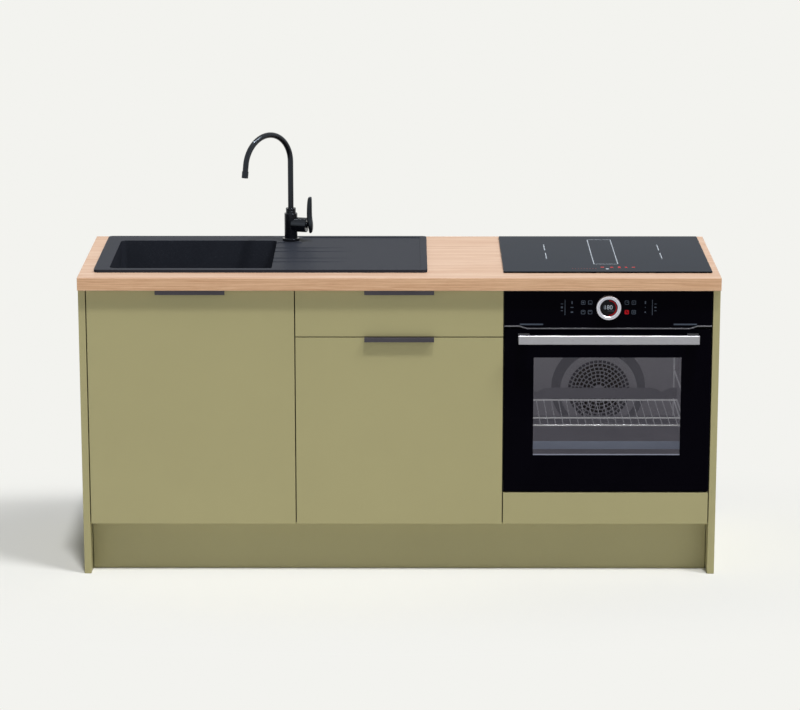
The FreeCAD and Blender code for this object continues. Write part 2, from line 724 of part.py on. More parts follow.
def make_sink():
    plate_x = (sink_left_x, sink_right_x)
    plate_y = (sink_front_y, sink_rear_y)
    plate = block("sink_plate_block", plate_x, plate_y, (worktop_top, sink_top))
    plate = rounded("sink_plate", plate, size.sink_corner_radius, UPWARD)
    inset = size.sink_flange + size.slip_fit
    under = block(
        "sink_underside", (plate_x[0] + inset, plate_x[1] - inset),
        (plate_y[0] + inset, plate_y[1] - inset), (sink_top - size.sink_plate_thick, worktop_top)
    )
    wall = size.bowl_wall
    outer = block(
        "bowl_outer_block", (bowl_x[0] - wall, bowl_x[1] + wall), (bowl_y[0] - wall, bowl_y[1] + wall),
        (bowl_floor - wall, worktop_top)
    )
    outer = rounded("bowl_outer", outer, size.bowl_corner_radius + wall, UPWARD)
    inner = block("bowl_inner_block", bowl_x, bowl_y, (bowl_floor, sink_top))
    inner = rounded("bowl_inner", inner, size.bowl_corner_radius, UPWARD)
    field_low = sink_top - size.drainer_recess
    field_right = sink_right_x - size.drainer_border
    beside_tap = tap_x + size.tap_flange_radius + size.drainer_tap_gap
    before_tap = tap_y - size.tap_flange_radius - size.drainer_tap_gap
    field_y = (plate_y[0] + size.drainer_border, plate_y[1] - size.drainer_border)
    field = block("drainer_field", (beside_tap, field_right), field_y, (field_low, sink_top))
    run_in = block(
        "drainer_run_in", (bowl_x[1] - wall, field_right), (field_y[0], before_tap), (field_low, sink_top)
    )
    tap_hole = cylinder("sink_tap_hole", size.shank_radius + size.slip_fit, size.sink_plate_thick,
                        (tap_x, tap_y, sink_top - size.sink_plate_thick))
    waste_hole = cylinder("sink_waste_hole", size.waste_radius + size.slip_fit, wall,
                          (bowl_middle_x, bowl_middle_y, bowl_floor - wall))
    body = fuse("sink_body", plate, under, outer)
    node("sink_top", cut("sink_top", body, inner, field, run_in, tap_hole, waste_hole, *make_grooves()))


def make_grooves():
    """Drainer grooves: two pairs of narrow troughs that run out towards the right."""
    width = size.groove_width
    depth = size.groove_depth
    radius = (width * width / 4 + depth * depth) / (depth * 2)
    slope = math.degrees(math.atan2(float(depth), float(size.groove_length)))
    axis_level = sink_top - size.drainer_recess - depth + radius
    first = sink_front_y + size.groove_first
    last = sink_rear_y - size.groove_last
    grooves = []
    for number, y in enumerate((first, first + size.groove_pair_gap, last - size.groove_pair_gap, last)):
        groove = cylinder(f"groove_{number + 1}", radius, size.groove_length,
                          (bowl_x[1] - width / 2, y, axis_level), "X")
        groove.Placement.Rotation = FreeCAD.Rotation(FreeCAD.Vector(0, 1, 0), 90 - slope)
        grooves.append(groove)
    return grooves


def make_waste():
    wall = size.waste_wall
    outer = size.waste_radius
    low = -(size.bowl_wall + size.waste_height)
    seat = size.waste_flange_thick
    tail = size.trap_pipe_radius - size.trap_wall
    section = [
        (tail, low), (outer, low), (outer, 0), (size.waste_flange_radius, 0),
        (size.waste_flange_radius, seat), (outer - wall, seat), (outer - wall, low + wall),
        (tail, low + wall)
    ]
    waste = turned_body("sink_waste", section)
    place(waste, bowl_middle_x, bowl_middle_y, bowl_floor)
    node("sink_waste", waste)
    sheet_wall = size.strainer_wall
    cup = outer - wall - size.strainer_gap
    rim = size.waste_flange_radius - size.strainer_rim
    deep = -size.strainer_height
    knob = size.strainer_knob
    section = [
        (0, deep), (cup, deep), (cup, 0), (rim, 0), (rim, sheet_wall), (cup - sheet_wall, sheet_wall),
        (cup - sheet_wall, deep + sheet_wall), (knob, deep + sheet_wall), (knob, knob), (0, knob)
    ]
    basket = turned_body("strainer_basket", section)
    rest_level = bowl_floor + seat + size.slip_fit
    place(basket, bowl_middle_x, bowl_middle_y, rest_level)
    holes = []
    for share, count in zip(STRAINER_RING_SHARES, STRAINER_HOLE_COUNTS):
        for number in range(count):
            turn = math.radians(360 * number / count)
            x = bowl_middle_x + cup * (share * math.cos(turn))
            y = bowl_middle_y + cup * (share * math.sin(turn))
            holes.append(cylinder(f"strainer_hole_{count}_{number + 1}", size.strainer_hole, sheet_wall,
                                  (x, y, rest_level + deep)))
    node("sink_strainer", cut("sink_strainer", basket, *holes))


def make_trap():
    wall = size.trap_wall
    pipe = size.trap_pipe_radius
    x = bowl_middle_x
    y = bowl_middle_y
    low = trap_top - size.trap_height
    run = unit_rear_y + size.trap_outlet_end - y
    spigot_start = (x, y + run - size.trap_spigot_length, trap_outlet_level)
    dip = trap_top - size.trap_height / 2
    bottle = cylinder("trap_bottle", size.trap_radius, size.trap_height, (x, y, low))
    outlet = cylinder("trap_outlet", pipe - size.trap_spigot_step, run, (x, y, trap_outlet_level), "Y")
    spigot = cylinder("trap_spigot", pipe, size.trap_spigot_length, spigot_start, "Y")
    inside = cylinder(
        "trap_inside", size.trap_radius - wall, size.trap_height - wall * 2, (x, y, low + wall)
    )
    outlet_bore = cylinder("trap_outlet_bore", pipe - wall, run, (x, y, trap_outlet_level), "Y")
    shell = cut("trap_shell", fuse("trap_outside", bottle, outlet, spigot), inside, outlet_bore)
    inlet = cylinder("trap_inlet", pipe, waste_low - dip, (x, y, dip))
    inlet_bore = cylinder("trap_inlet_bore", pipe - wall, waste_low - dip, (x, y, dip))
    node("waste_trap", cut("waste_trap", fuse("trap_with_inlet", shell, inlet), inlet_bore))


def front_panel(name, x, height, extra_cuts=()):
    """A front with a shallow seat behind its top edge for the pull's flange."""
    panel = block(f"{name}_board", x, (front_y, front_y + size.front_thick), height)
    middle = (x[0] + x[1]) / 2
    half = size.pull_length / 2 + size.slip_fit
    rear = front_y + size.front_thick
    seat = block(f"{name}_pull_seat", (middle - half, middle + half), (rear - size.pull_thick, rear),
                 (height[1] - size.pull_back_drop - size.slip_fit, height[1]))
    return cut(name, panel, seat, *extra_cuts)


def pull(name, x, top):
    """An edge pull: plate over the front's top edge, lip before it and flange behind it."""
    thick = size.pull_thick
    reach = -size.pull_reach
    rear = size.front_thick
    lip_low = thick - size.pull_drop
    section = [
        (reach, thick), (rear, thick), (rear, -size.pull_back_drop),
        (rear - thick, -size.pull_back_drop), (rear - thick, 0), (reach + thick, 0),
        (reach + thick, lip_low), (reach, lip_low)
    ]
    body = profile_body(name, section, size.pull_length)
    place(body, (x[0] + x[1]) / 2 - size.pull_length / 2, front_y, top)
    node(name, body)


def make_sink_door():
    x = (door_left_x, -half_module - size.front_gap / 2)
    drillings = []
    for number, level in enumerate(hinge_levels, start=1):
        start = (cup_x, cup_floor_y, level)
        drillings.append(cylinder(f"cup_drilling_{number}", size.cup_radius, size.cup_depth, start, "Y"))
    node("sink_door_panel", front_panel("sink_door_panel", x, (front_low, front_high), drillings))
    pull("sink_door_pull", x, front_high)


def make_hinges():
    cups = []
    links = []
    arms = []
    for number, level in enumerate(hinge_levels, start=1):
        cups.append(hinge_cup(f"hinge_cup_{number}", level))
        links.append(hinge_link(f"hinge_link_{number}", level))
        arms.append(hinge_arm(f"hinge_arm_{number}", level))
    node("hinge_cups", group("hinge_cups", *cups))
    node("hinge_links", group("hinge_links", *links))
    node("hinge_arms", group("hinge_arms", *arms))


def hinge_cup(name, level):
    outer = size.cup_radius - size.pivot_fit
    wall = size.cup_wall
    rear = cup_floor_y + size.cup_depth
    cup = cylinder(f"{name}_outer", outer, size.cup_depth, (cup_x, cup_floor_y, level), "Y")
    flange = block(f"{name}_flange", (cup_x - outer, cup_x + outer), (rear, rear + size.cup_flange_thick),
                   (level - outer * CUP_FLANGE_SHARE, level + outer * CUP_FLANGE_SHARE))
    bore_length = size.cup_depth + size.cup_flange_thick - wall
    bore = cylinder(f"{name}_bore", outer - wall, bore_length, (cup_x, cup_floor_y + wall, level), "Y")
    offset = cup_x - door_pivot[0]
    chord = Size(
        math.sqrt(float(outer) ** 2 - float(offset) ** 2),
        f"sqrt({(outer * outer - offset * offset).text})"
    )
    start = (door_pivot[0], door_pivot[1], level - chord + wall / 2)
    pin = cylinder(f"{name}_pin", size.pivot_radius, chord * 2 - wall, start)
    return fuse(name, cut(f"{name}_shell", fuse(f"{name}_solid", cup, flange), bore), pin)


def hinge_link(name, level):
    """A bent strip with an eye at each pin, made about the arm's pin."""
    thick = float(size.link_thick)
    wide = float(size.link_width)
    bore = float(size.pivot_radius + size.pivot_fit)
    eye = bore + float(size.eye_wall)
    low = float(level) - wide / 2
    stops = [flat_point(door_pivot, low), flat_point(link_elbow, low), flat_point(arm_pivot, low)]
    strips = []
    for first, last in zip(stops, stops[1:]):
        run = last - first
        strip = Part.makeBox(run.Length, thick, wide)
        strip.translate(FreeCAD.Vector(0, -thick / 2, 0))
        strip.rotate(FreeCAD.Vector(), UPWARD, math.degrees(math.atan2(run.y, run.x)))
        strip.translate(first)
        strips.append(strip)
    rounds = [Part.makeCylinder(eye, wide, stops[0]), Part.makeCylinder(thick / 2, wide, stops[1]),
              Part.makeCylinder(eye, wide, stops[2])]
    solid = strips[0].multiFuse(strips[1:] + rounds)
    for stop in (stops[0], stops[2]):
        solid = solid.cut(Part.makeCylinder(bore, wide, stop))
    return feature(name, solid.removeSplitter())


def flat_point(point, level):
    return FreeCAD.Vector(float(point[0]), float(point[1]), level)


def hinge_arm(name, level):
    side = UNIT_LEFTS["sink"] + size.board_thick
    wall = size.arm_wall
    margin = size.arm_margin
    start_y = arm_pivot[1] - margin
    inner = size.link_width / 2 + size.slip_fit
    plate = block(f"{name}_plate", (side, side + wall), (start_y, start_y + size.arm_length),
                  (level - size.arm_plate_height / 2, level + size.arm_plate_height / 2))
    cheek_x = (side, arm_pivot[0] + margin)
    cheek_y = (start_y, start_y + size.arm_cheek_length)
    upper = block(f"{name}_upper", cheek_x, cheek_y, (level + inner, level + inner + wall))
    lower = block(f"{name}_lower", cheek_x, cheek_y, (level - inner - wall, level - inner))
    pin_start = (arm_pivot[0], arm_pivot[1], level - inner - wall)
    pin = cylinder(f"{name}_pin", size.pivot_radius, (inner + wall) * 2, pin_start)
    return fuse(name, plate, upper, lower, pin)


def make_drawer(name, front_height, box_height):
    inside = unit_inside("drawer")
    x = (-half_module + size.front_gap / 2, half_module - size.front_gap / 2)
    node(f"{name}_front", front_panel(f"{name}_front", x, front_height))
    pull(f"{name}_pull", x, front_height[1])
    low = front_height[0] + size.drawer_box_lift
    box_z = (low, low + box_height)
    start_y = front_y + size.front_thick
    end_y = unit_rear_y - size.drawer_rear_room
    thick = size.drawer_side_thick
    outer_x = (inside[0] + size.runner_space, inside[1] - size.runner_space)
    inner_x = (outer_x[0] + thick, outer_x[1] - thick)
    left = block(f"{name}_side_left", (outer_x[0], inner_x[0]), (start_y, end_y), box_z)
    right = block(f"{name}_side_right", (inner_x[1], outer_x[1]), (start_y, end_y), box_z)
    node(f"{name}_sides", group(f"{name}_sides", left, right))
    node(f"{name}_back", block(f"{name}_back", inner_x, (end_y - thick, end_y), box_z))
    bottom_low = low + size.drawer_bottom_groove
    bottom_z = (bottom_low, bottom_low + size.drawer_bottom_thick)
    node(f"{name}_bottom", block(f"{name}_bottom", inner_x, (start_y, end_y - thick), bottom_z))
    runner_low = low + size.runner_level
    runner_z = (runner_low, runner_low + size.runner_height)
    slide = (size.runner_space - size.runner_gap) / 2
    slides = [block(f"{name}_slide_left", (outer_x[0] - slide, outer_x[0]), (start_y, end_y), runner_z),
              block(f"{name}_slide_right", (outer_x[1], outer_x[1] + slide), (start_y, end_y), runner_z)]
    node(f"{name}_slides", group(f"{name}_slides", *slides))
    rail_y = (unit_y + size.rail_back_gap, end_y)
    return [block(f"{name}_rail_left", (inside[0], inside[0] + slide), rail_y, runner_z),
            block(f"{name}_rail_right", (inside[1] - slide, inside[1]), rail_y, runner_z)]


def make_drawers():
    half_gap = size.front_gap / 2
    rails = make_drawer("upper_drawer", (split_level + half_gap, front_high), size.upper_box_height)
    rails += make_drawer("lower_drawer", (front_low, split_level - half_gap), size.lower_box_height)
    node("drawer_runner_rails", group("drawer_runner_rails", *rails))


def make_hob():
    glass_low = worktop_top + size.hob_seal
    glass = block("hob_glass_block", hob_x, hob_y, (glass_low, glass_low + size.hob_glass_thick))
    node("hob_glass", rounded("hob_glass", glass, size.hob_corner_radius, UPWARD))
    wall = size.hob_case_wall
    low = worktop_top - size.hob_case_height
    case = block("hob_case_outer", hob_case_x, hob_case_y, (low, glass_low))
    inside_x = (hob_case_x[0] + wall, hob_case_x[1] - wall)
    inside_y = (hob_case_y[0] + wall, hob_case_y[1] - wall)
    room = block("hob_case_inside", inside_x, inside_y, (low + wall, glass_low))
    coils = []
    case_width = hob_case_x[1] - hob_case_x[0]
    hob_depth = hob_y[1] - hob_y[0]
    for row, y_share in enumerate(COIL_ROW_SHARES, start=1):
        for column, x_share in enumerate(COIL_COLUMN_SHARES, start=1):
            start = (oven_x + case_width * x_share, hob_y[0] + hob_depth * y_share, low + wall)
            coils.append(
                cylinder(f"coil_{row}_{column}", hob_depth * COIL_RADIUS_SHARE, glass_low - start[2], start)
            )
    node("hob_case", fuse("hob_case", cut("hob_case_tray", case, room), *coils))


def around(middle, half):
    return middle - half, middle + half


def make_oven_casing():
    unit = unit_inside("oven")
    gap = size.casing_side_gap
    wall = size.casing_wall
    x = (unit[0] + gap, unit[1] - gap)
    y = (unit_y, casing_rear)
    z = (casing_low, oven_high - size.casing_top_drop)
    outer = block("casing_outer", x, y, z)
    inner = block(
        "casing_inner", (x[0] + wall, x[1] - wall), (y[0], y[1] - wall), (z[0] + wall, z[1] - wall)
    )
    flange_low = oven_low + size.flange_bottom_clear
    flange = block("casing_flange_plate", around(oven_x, half_oven), (unit_y - size.flange_thick, unit_y),
                   (flange_low, panel_low))
    mouth = block("casing_mouth", around(oven_x, half_cavity), (unit_y - size.flange_thick, unit_y),
                  (cavity_low, cavity_high))
    shell = cut("casing_shell", outer, inner)
    node("oven_casing", fuse("oven_casing", shell, cut("casing_flange", flange, mouth)))


def make_oven_cavity():
    wall = size.cavity_wall
    outer = block("cavity_outer", around(oven_x, half_cavity + wall), (unit_y, cavity_rear + wall),
                  (cavity_low - wall, cavity_high + wall))
    inner = block(
        "cavity_inner", around(oven_x, half_cavity), (unit_y, cavity_rear), (cavity_low, cavity_high)
    )
    start = (oven_x, cavity_rear, fan_level)
    hole = cylinder("cavity_shaft_hole", size.fan_shaft_radius + size.slip_fit, wall, start, "Y")
    node("oven_cavity", cut("oven_cavity", outer, inner, hole))


def make_oven_fan():
    wall = size.cavity_wall
    cover_wall = size.fan_cover_wall
    depth = size.fan_cover_depth
    front = cavity_rear - depth
    rim = fan_cover_radius
    plate = rim - size.fan_cover_slant
    section = [
        (0, depth), (plate, depth), (rim, 0), (rim - cover_wall, 0),
        (plate - cover_wall, depth - cover_wall), (0, depth - cover_wall)
    ]
    cover = turned_body("fan_cover_shell", section)
    cover.Placement = FreeCAD.Placement(FreeCAD.Vector(), FreeCAD.Rotation(FreeCAD.Vector(1, 0, 0), 90))
    place(cover, oven_x, cavity_rear, fan_level)
    node("oven_fan_cover", cut("oven_fan_cover", cover, feature("fan_cover_slots", fan_slots(front))))
    motor_start = (oven_x, cavity_rear + wall, fan_level)
    motor = cylinder("fan_motor_body", size.motor_radius, size.motor_length, motor_start, "Y")
    fan_rear = cavity_rear - cover_wall
    shaft_front = fan_rear - size.fan_depth
    shaft_start = (oven_x, shaft_front, fan_level)
    shaft = cylinder(
        "fan_motor_shaft", size.fan_shaft_radius, motor_start[1] - shaft_front, shaft_start, "Y"
    )
    node("oven_fan_motor", fuse("oven_fan_motor", motor, shaft))
    node("oven_fan", feature("oven_fan", fan_wheel(shaft_front)))


def fan_slots(front):
    """Rings of slots in the fan cover, each slot cut short of its neighbour."""
    depth = float(size.fan_cover_wall)
    centre = FreeCAD.Vector(float(oven_x), float(front), float(fan_level))
    forward = FreeCAD.Vector(0, 1, 0)
    radius = float(fan_cover_radius)
    slots = []
    for share, count in zip(SLOT_RING_SHARES, SLOT_COUNTS):
        turn = 360 / count
        inner = radius * share
        for number in range(count):
            sector = Part.makeCylinder(
                inner + radius * SLOT_WIDTH_SHARE, depth, centre, forward, turn * SLOT_TURN_SHARE
            )
            sector = sector.cut(Part.makeCylinder(inner, depth, centre, forward))
            sector.rotate(centre, forward, turn * (number + share))
            slots.append(sector)
    return Part.makeCompound(slots)


def fan_wheel(front):
    """Hub, rear disc and radial blades."""
    depth = float(size.fan_depth)
    thick = float(size.fan_sheet)
    hub = float(size.fan_hub_radius)
    outer = float(fan_cover_radius) * FAN_WHEEL_SHARE
    forward = FreeCAD.Vector(0, 1, 0)
    centre = FreeCAD.Vector(float(oven_x), float(front), float(fan_level))
    disc = Part.makeCylinder(outer, thick, centre + forward * (depth - thick), forward)
    pieces = [disc, Part.makeCylinder(hub, depth, centre, forward)]
    for number in range(FAN_BLADES):
        blade = Part.makeBox(outer - hub / 2, depth, thick)
        blade.translate(centre + FreeCAD.Vector(hub / 2, 0, -thick / 2))
        blade.rotate(centre, forward, 360 * number / FAN_BLADES)
        pieces.append(blade)
    wheel = pieces[0].multiFuse(pieces[1:])
    bore = Part.makeCylinder(float(size.fan_shaft_radius + size.pivot_fit), depth, centre, forward)
    return wheel.cut(bore).removeSplitter()


def bar(axis, along, spot, radius):
    """A straight wire along X, Y or Z between two values, at the two other values in order."""
    low, high = along
    first, second = spot
    start = {"X": (low, first, second), "Y": (first, low, second), "Z": (first, second, low)}[axis]
    way = {"X": (1, 0, 0), "Y": (0, 1, 0), "Z": (0, 0, 1)}[axis]
    return Part.makeCylinder(
        float(radius), float(high) - float(low), FreeCAD.Vector(*map(float, start)),
        FreeCAD.Vector(*way)
    )


def make_side_racks():
    """Wire supports on both cavity walls: rails for rack and trays, posts and wall pegs."""
    radius = size.rack_wire
    thin = radius * RACK_THIN_SHARE
    reach = size.side_rack_reach
    front = unit_y + reach * 2
    rear = cavity_rear - size.fan_cover_depth
    rise = cavity_high - cavity_low
    levels = [tray_low() - radius - size.slip_fit, rack_middle() - radius * 2 - size.slip_fit]
    levels += [cavity_low + rise * share for share in RACK_SUPPORT_SHARES]
    racks = []
    for side in (-1, 1):
        wall_x = oven_x + half_cavity * side
        x = wall_x - reach * side
        wires = [bar("Y", (front, rear), (x, level), thin) for level in levels]
        for y in (front, rear):
            wires.append(bar("Z", (levels[0] - radius, levels[-1] + radius), (x, y), radius))
            for level in (levels[0] + reach, levels[-1] - reach):
                ends = (x, wall_x) if side > 0 else (wall_x, x)
                wires.append(bar("X", ends, (y, level), thin))
        racks.append(wires[0].multiFuse(wires[1:]))
    node("oven_side_racks", feature("oven_side_racks", Part.makeCompound(racks)))


def tray_low():
    return cavity_low + size.tray_rise


def rack_middle():
    return cavity_low + size.rack_rise


def make_rack_and_tray():
    radius = size.rack_wire
    thin = radius * RACK_THIN_SHARE
    half = half_cavity - size.side_rack_reach / 2
    front = unit_y + size.side_rack_reach * 3
    rear = cavity_rear - size.fan_cover_depth - size.rack_rear_gap
    level = rack_middle()
    side_x = (oven_x - half, oven_x + half)
    wires = [bar("Y", (front - radius, rear + radius), (x, level), radius) for x in side_x]
    wires += [bar("X", side_x, (y, level), thin) for y in (front, front + size.rack_cross_inset, rear)]
    bars = int(float(half) * 2 / float(size.rack_bar_pitch))
    for number in range(1, bars):
        x = side_x[0] + half * 2 * (number / bars)
        wires.append(bar("Y", (front, rear), (x, level), size.rack_bar))
    node("oven_wire_rack", feature("oven_wire_rack", wires[0].multiFuse(wires[1:])))
    wall = size.tray_wall
    low = tray_low()
    outer = block("tray_outer", side_x, (front, rear), (low, low + size.tray_height))
    inner = block("tray_inner", (side_x[0] + wall, side_x[1] - wall), (front + wall, rear - wall),
                  (low + wall, low + size.tray_height))
    node("oven_tray", cut("oven_tray", outer, inner))


def make_grill():
    """A bent tube under the roof, both ends in the rear wall."""
    half = float(half_cavity - size.grill_side_inset)
    bend = float(size.grill_bend)
    rear = float(cavity_rear)
    front = float(unit_y + size.grill_front_inset)
    level = float(cavity_high - size.grill_drop)
    x = float(oven_x)
    knee = bend * (1 - math.sqrt(0.5))
    left = x - half
    right = x + half
    points = [(left, rear), (left, front + bend), (left + knee, front + knee), (left + bend, front),
              (right - bend, front), (right - knee, front + knee), (right, front + bend), (right, rear)]
    stops = [FreeCAD.Vector(px, py, level) for px, py in points]
    path = Part.Wire([Part.makeLine(stops[0], stops[1]), Part.Arc(stops[1], stops[2], stops[3]).toShape(),
                      Part.makeLine(stops[3], stops[4]), Part.Arc(stops[4], stops[5], stops[6]).toShape(),
                      Part.makeLine(stops[6], stops[7])])
    ring = Part.Wire([Part.makeCircle(float(size.grill_radius), stops[0], FreeCAD.Vector(0, -1, 0))])
    node("oven_grill_element", feature("oven_grill_element", path.makePipeShell([ring], True, False)))


def flat_plate(name, points, depth, x, front, low):
    """A plate of one outline, drawn seen from the front, that reaches back from its front plane."""
    body = doc.addObject("PartDesign::Body", name)
    sketch = sketch_in(body, "XZ_Plane", f"{name}_outline")
    draw_outline(sketch, points)
    add_pad(body, sketch, f"{name}_pad", depth)
    place(body, x, front + depth, low)
    return body


def make_control_panel():
    half = half_oven
    end = half - size.notch_end
    foot = end - size.notch_slant
    drop = -size.notch_drop
    high = size.oven_panel_height
    points = [
        (-half, 0), (-end, 0), (-foot, drop), (foot, drop), (end, 0), (half, 0), (half, high),
        (-half, high)
    ]
    node(
        "oven_control_panel",
        flat_plate("oven_control_panel", points, size.oven_glass_thick, oven_x, front_y, panel_low)
    )
    margin = size.door_margin
    box = block(
        "oven_control_box", around(oven_x, half - margin), (front_y + size.oven_glass_thick, unit_y),
        (panel_low + margin, panel_low + high - margin)
    )
    node("oven_control_box", box)
    level = panel_low + size.dial_rise
    display_start = (oven_x, front_y - size.display_reach, level)
    node(
        "oven_display",
        cylinder("oven_display", size.display_radius, size.display_reach, display_start, "Y")
    )
    outer = size.dial_radius
    bore = size.dial_bore
    ease = size.dial_ease
    reach = size.dial_reach
    section = [
        (bore, 0), (outer, 0), (outer, reach - ease), (outer - ease, reach), (bore + ease, reach),
        (bore, reach - ease)
    ]
    dial = turned_body("oven_dial", section)
    dial.Placement = FreeCAD.Placement(FreeCAD.Vector(), FreeCAD.Rotation(FreeCAD.Vector(1, 0, 0), 90))
    place(dial, oven_x, front_y - size.slip_fit, level)
    node("oven_dial", dial)


def make_oven_door():
    half = half_oven
    low = oven_low
    high = door_high - low
    end = half - size.notch_end
    foot = end - size.notch_slant
    valley = high - size.notch_drop
    glass = size.oven_glass_thick
    thick = size.oven_front_thick
    edge = [(half, high), (end, high), (foot, valley), (-foot, valley), (-end, high), (-half, high)]
    outline = [(-half, 0), (half, 0)] + edge
    node("oven_door_glass", flat_plate("oven_door_glass", outline, glass, oven_x, front_y, low))
    raised = [(x, z + size.trim_height) for x, z in reversed(edge)]
    node("oven_door_trim", flat_plate("oven_door_trim", edge + raised, thick, oven_x, front_y, low))
    margin = size.door_margin
    chamfer = size.door_chamfer
    section = [
        (glass, margin), (thick - chamfer, margin), (thick, margin + chamfer), (thick, valley),
        (glass, valley)
    ]
    frame = profile_body("door_frame_bar", section, (half - margin) * 2)
    place(frame, oven_x - half + margin, front_y, low)
    window = block("door_window", around(oven_x, half_window), (front_y + glass, front_y + thick),
                   (cavity_low + size.window_low_inset, cavity_high - size.window_high_inset))
    cuts = [window]
    hinges = []
    for side in (-1, 1):
        x = oven_x + (half_cavity - size.hinge_inboard) * side
        name = "left" if side < 0 else "right"
        cuts += hinge_pocket(name, x)
        hinges.append(door_hinge_arm(name, x))
    node("oven_door_frame", cut("oven_door_frame", frame, *cuts))
    node("oven_door_hinges", group("oven_door_hinges", *hinges))
    gap = size.plug_side_gap
    rear = front_y + thick
    pane = block(
        "oven_door_inner_glass", around(oven_x, half_cavity - gap),
        (rear, rear + size.inner_glass_thick), (cavity_low + gap, cavity_high - gap)
    )
    node("oven_door_inner_glass", pane)
    make_oven_handle()


def hinge_pocket(name, x):
    """Slot and pin sockets in the door frame for one hinge arm."""
    y, z = oven_door_pivot
    room = size.hinge_arm_thick / 2 + size.hinge_arm_room
    top = z + size.hinge_eye_radius + size.hinge_arm_room
    slot = block(
        f"door_slot_{name}", around(x, room),
        (front_y + size.oven_glass_thick, front_y + size.oven_front_thick), (oven_low, top)
    )
    start = (x - size.hinge_pin_length / 2, y, z)
    socket = cylinder(
        f"door_socket_{name}", size.hinge_pin_radius + size.pivot_fit, size.hinge_pin_length, start, "X"
    )
    return [slot, socket]


def door_hinge_arm(name, x):
    y, z = oven_door_pivot
    half = size.hinge_arm_thick / 2
    eye = size.hinge_eye_radius
    floor = casing_low + size.casing_wall
    end_room = size.slip_fit
    round_eye = cylinder(f"door_eye_{name}", eye, half * 2, (x - half, y, z), "X")
    pin_length = size.hinge_pin_length - end_room * 2
    pin = cylinder(f"door_pin_{name}", size.hinge_pin_radius, pin_length, (x - pin_length / 2, y, z), "X")
    rear = unit_y + size.hinge_arm_length
    bar = block(f"door_bar_{name}", around(x, half), (y, rear), (z - eye, z + eye))
    foot = block(
        f"door_foot_{name}", around(x, half * 3), (unit_y + size.casing_wall, rear), (floor, z + eye)
    )
    return fuse(f"door_hinge_{name}", round_eye, pin, bar, foot)


def make_oven_handle():
    half = half_oven - size.oven_handle_inset
    level = door_high - size.oven_handle_drop
    front = front_y - size.handle_reach
    rear = front + size.oven_handle_thick
    bar = block(
        "handle_bar_block", around(oven_x, half), (front, rear),
        (level, level + size.oven_handle_height)
    )
    bar = rounded("handle_bar", bar, size.handle_round, FreeCAD.Vector(1, 0, 0))
    middle = level + size.oven_handle_height / 2
    posts = []
    for name, x in (("left", (oven_x - half, oven_x - half + size.standoff_width)),
                    ("right", (oven_x + half - size.standoff_width, oven_x + half))):
        height = around(middle, size.standoff_height / 2)
        posts.append(block(f"handle_post_{name}", x, (rear - size.handle_round, front_y), height))
    node("oven_door_handle", fuse("oven_door_handle", bar, *posts))


def make_tap():
    deck = sink_top
    body_r = size.tap_body_radius
    flange_r = size.tap_flange_radius
    collar_r = size.collar_radius
    shank_r = size.shank_radius
    pipe_hole = size.spout_radius + size.pivot_fit
    top = size.tap_body_height
    collar_top = top + size.collar_height
    hole_low = top - size.spout_hold
    ring = size.collar_groove
    ring_low = top + size.collar_height / 2
    step = size.tap_flange_height
    shank = -size.shank_length
    section = [
        (0, shank), (shank_r, shank), (shank_r, 0), (flange_r, 0), (flange_r, step), (body_r, step),
        (body_r, top), (collar_r, top), (collar_r, ring_low), (collar_r - ring, ring_low),
        (collar_r - ring, ring_low + ring), (collar_r, ring_low + ring), (collar_r, collar_top),
        (pipe_hole, collar_top),
        (pipe_hole, hole_low), (0, hole_low)
    ]
    turned = turned_body("tap_body_turned", section)
    place(turned, tap_x, tap_y, deck)
    inlets = []
    for side in (-1, 1):
        start = (tap_x, tap_y + size.inlet_pitch * side / 2, deck - size.shank_length)
        inlets.append(cylinder(f"tap_inlet_{(side + 3) // 2}", size.inlet_radius, size.inlet_depth, start))
    node("tap_body", cut("tap_body", turned, *inlets))
    nut_high = deck - size.sink_plate_thick
    nut_low = nut_high - size.tap_nut_height
    nut = cylinder("tap_nut_disc", size.tap_nut_radius, size.tap_nut_height, (tap_x, tap_y, nut_low))
    nut_bore = cylinder(
        "tap_nut_bore", shank_r + size.pivot_fit, size.tap_nut_height, (tap_x, tap_y, nut_low)
    )
    node("tap_nut", cut("tap_nut", nut, nut_bore))
    make_spout()
    make_valve()


def tap_placement(yaw, level):
    turn = FreeCAD.Rotation(UPWARD, float(yaw))
    return FreeCAD.Placement(FreeCAD.Vector(float(tap_x), float(tap_y), float(level)), turn)


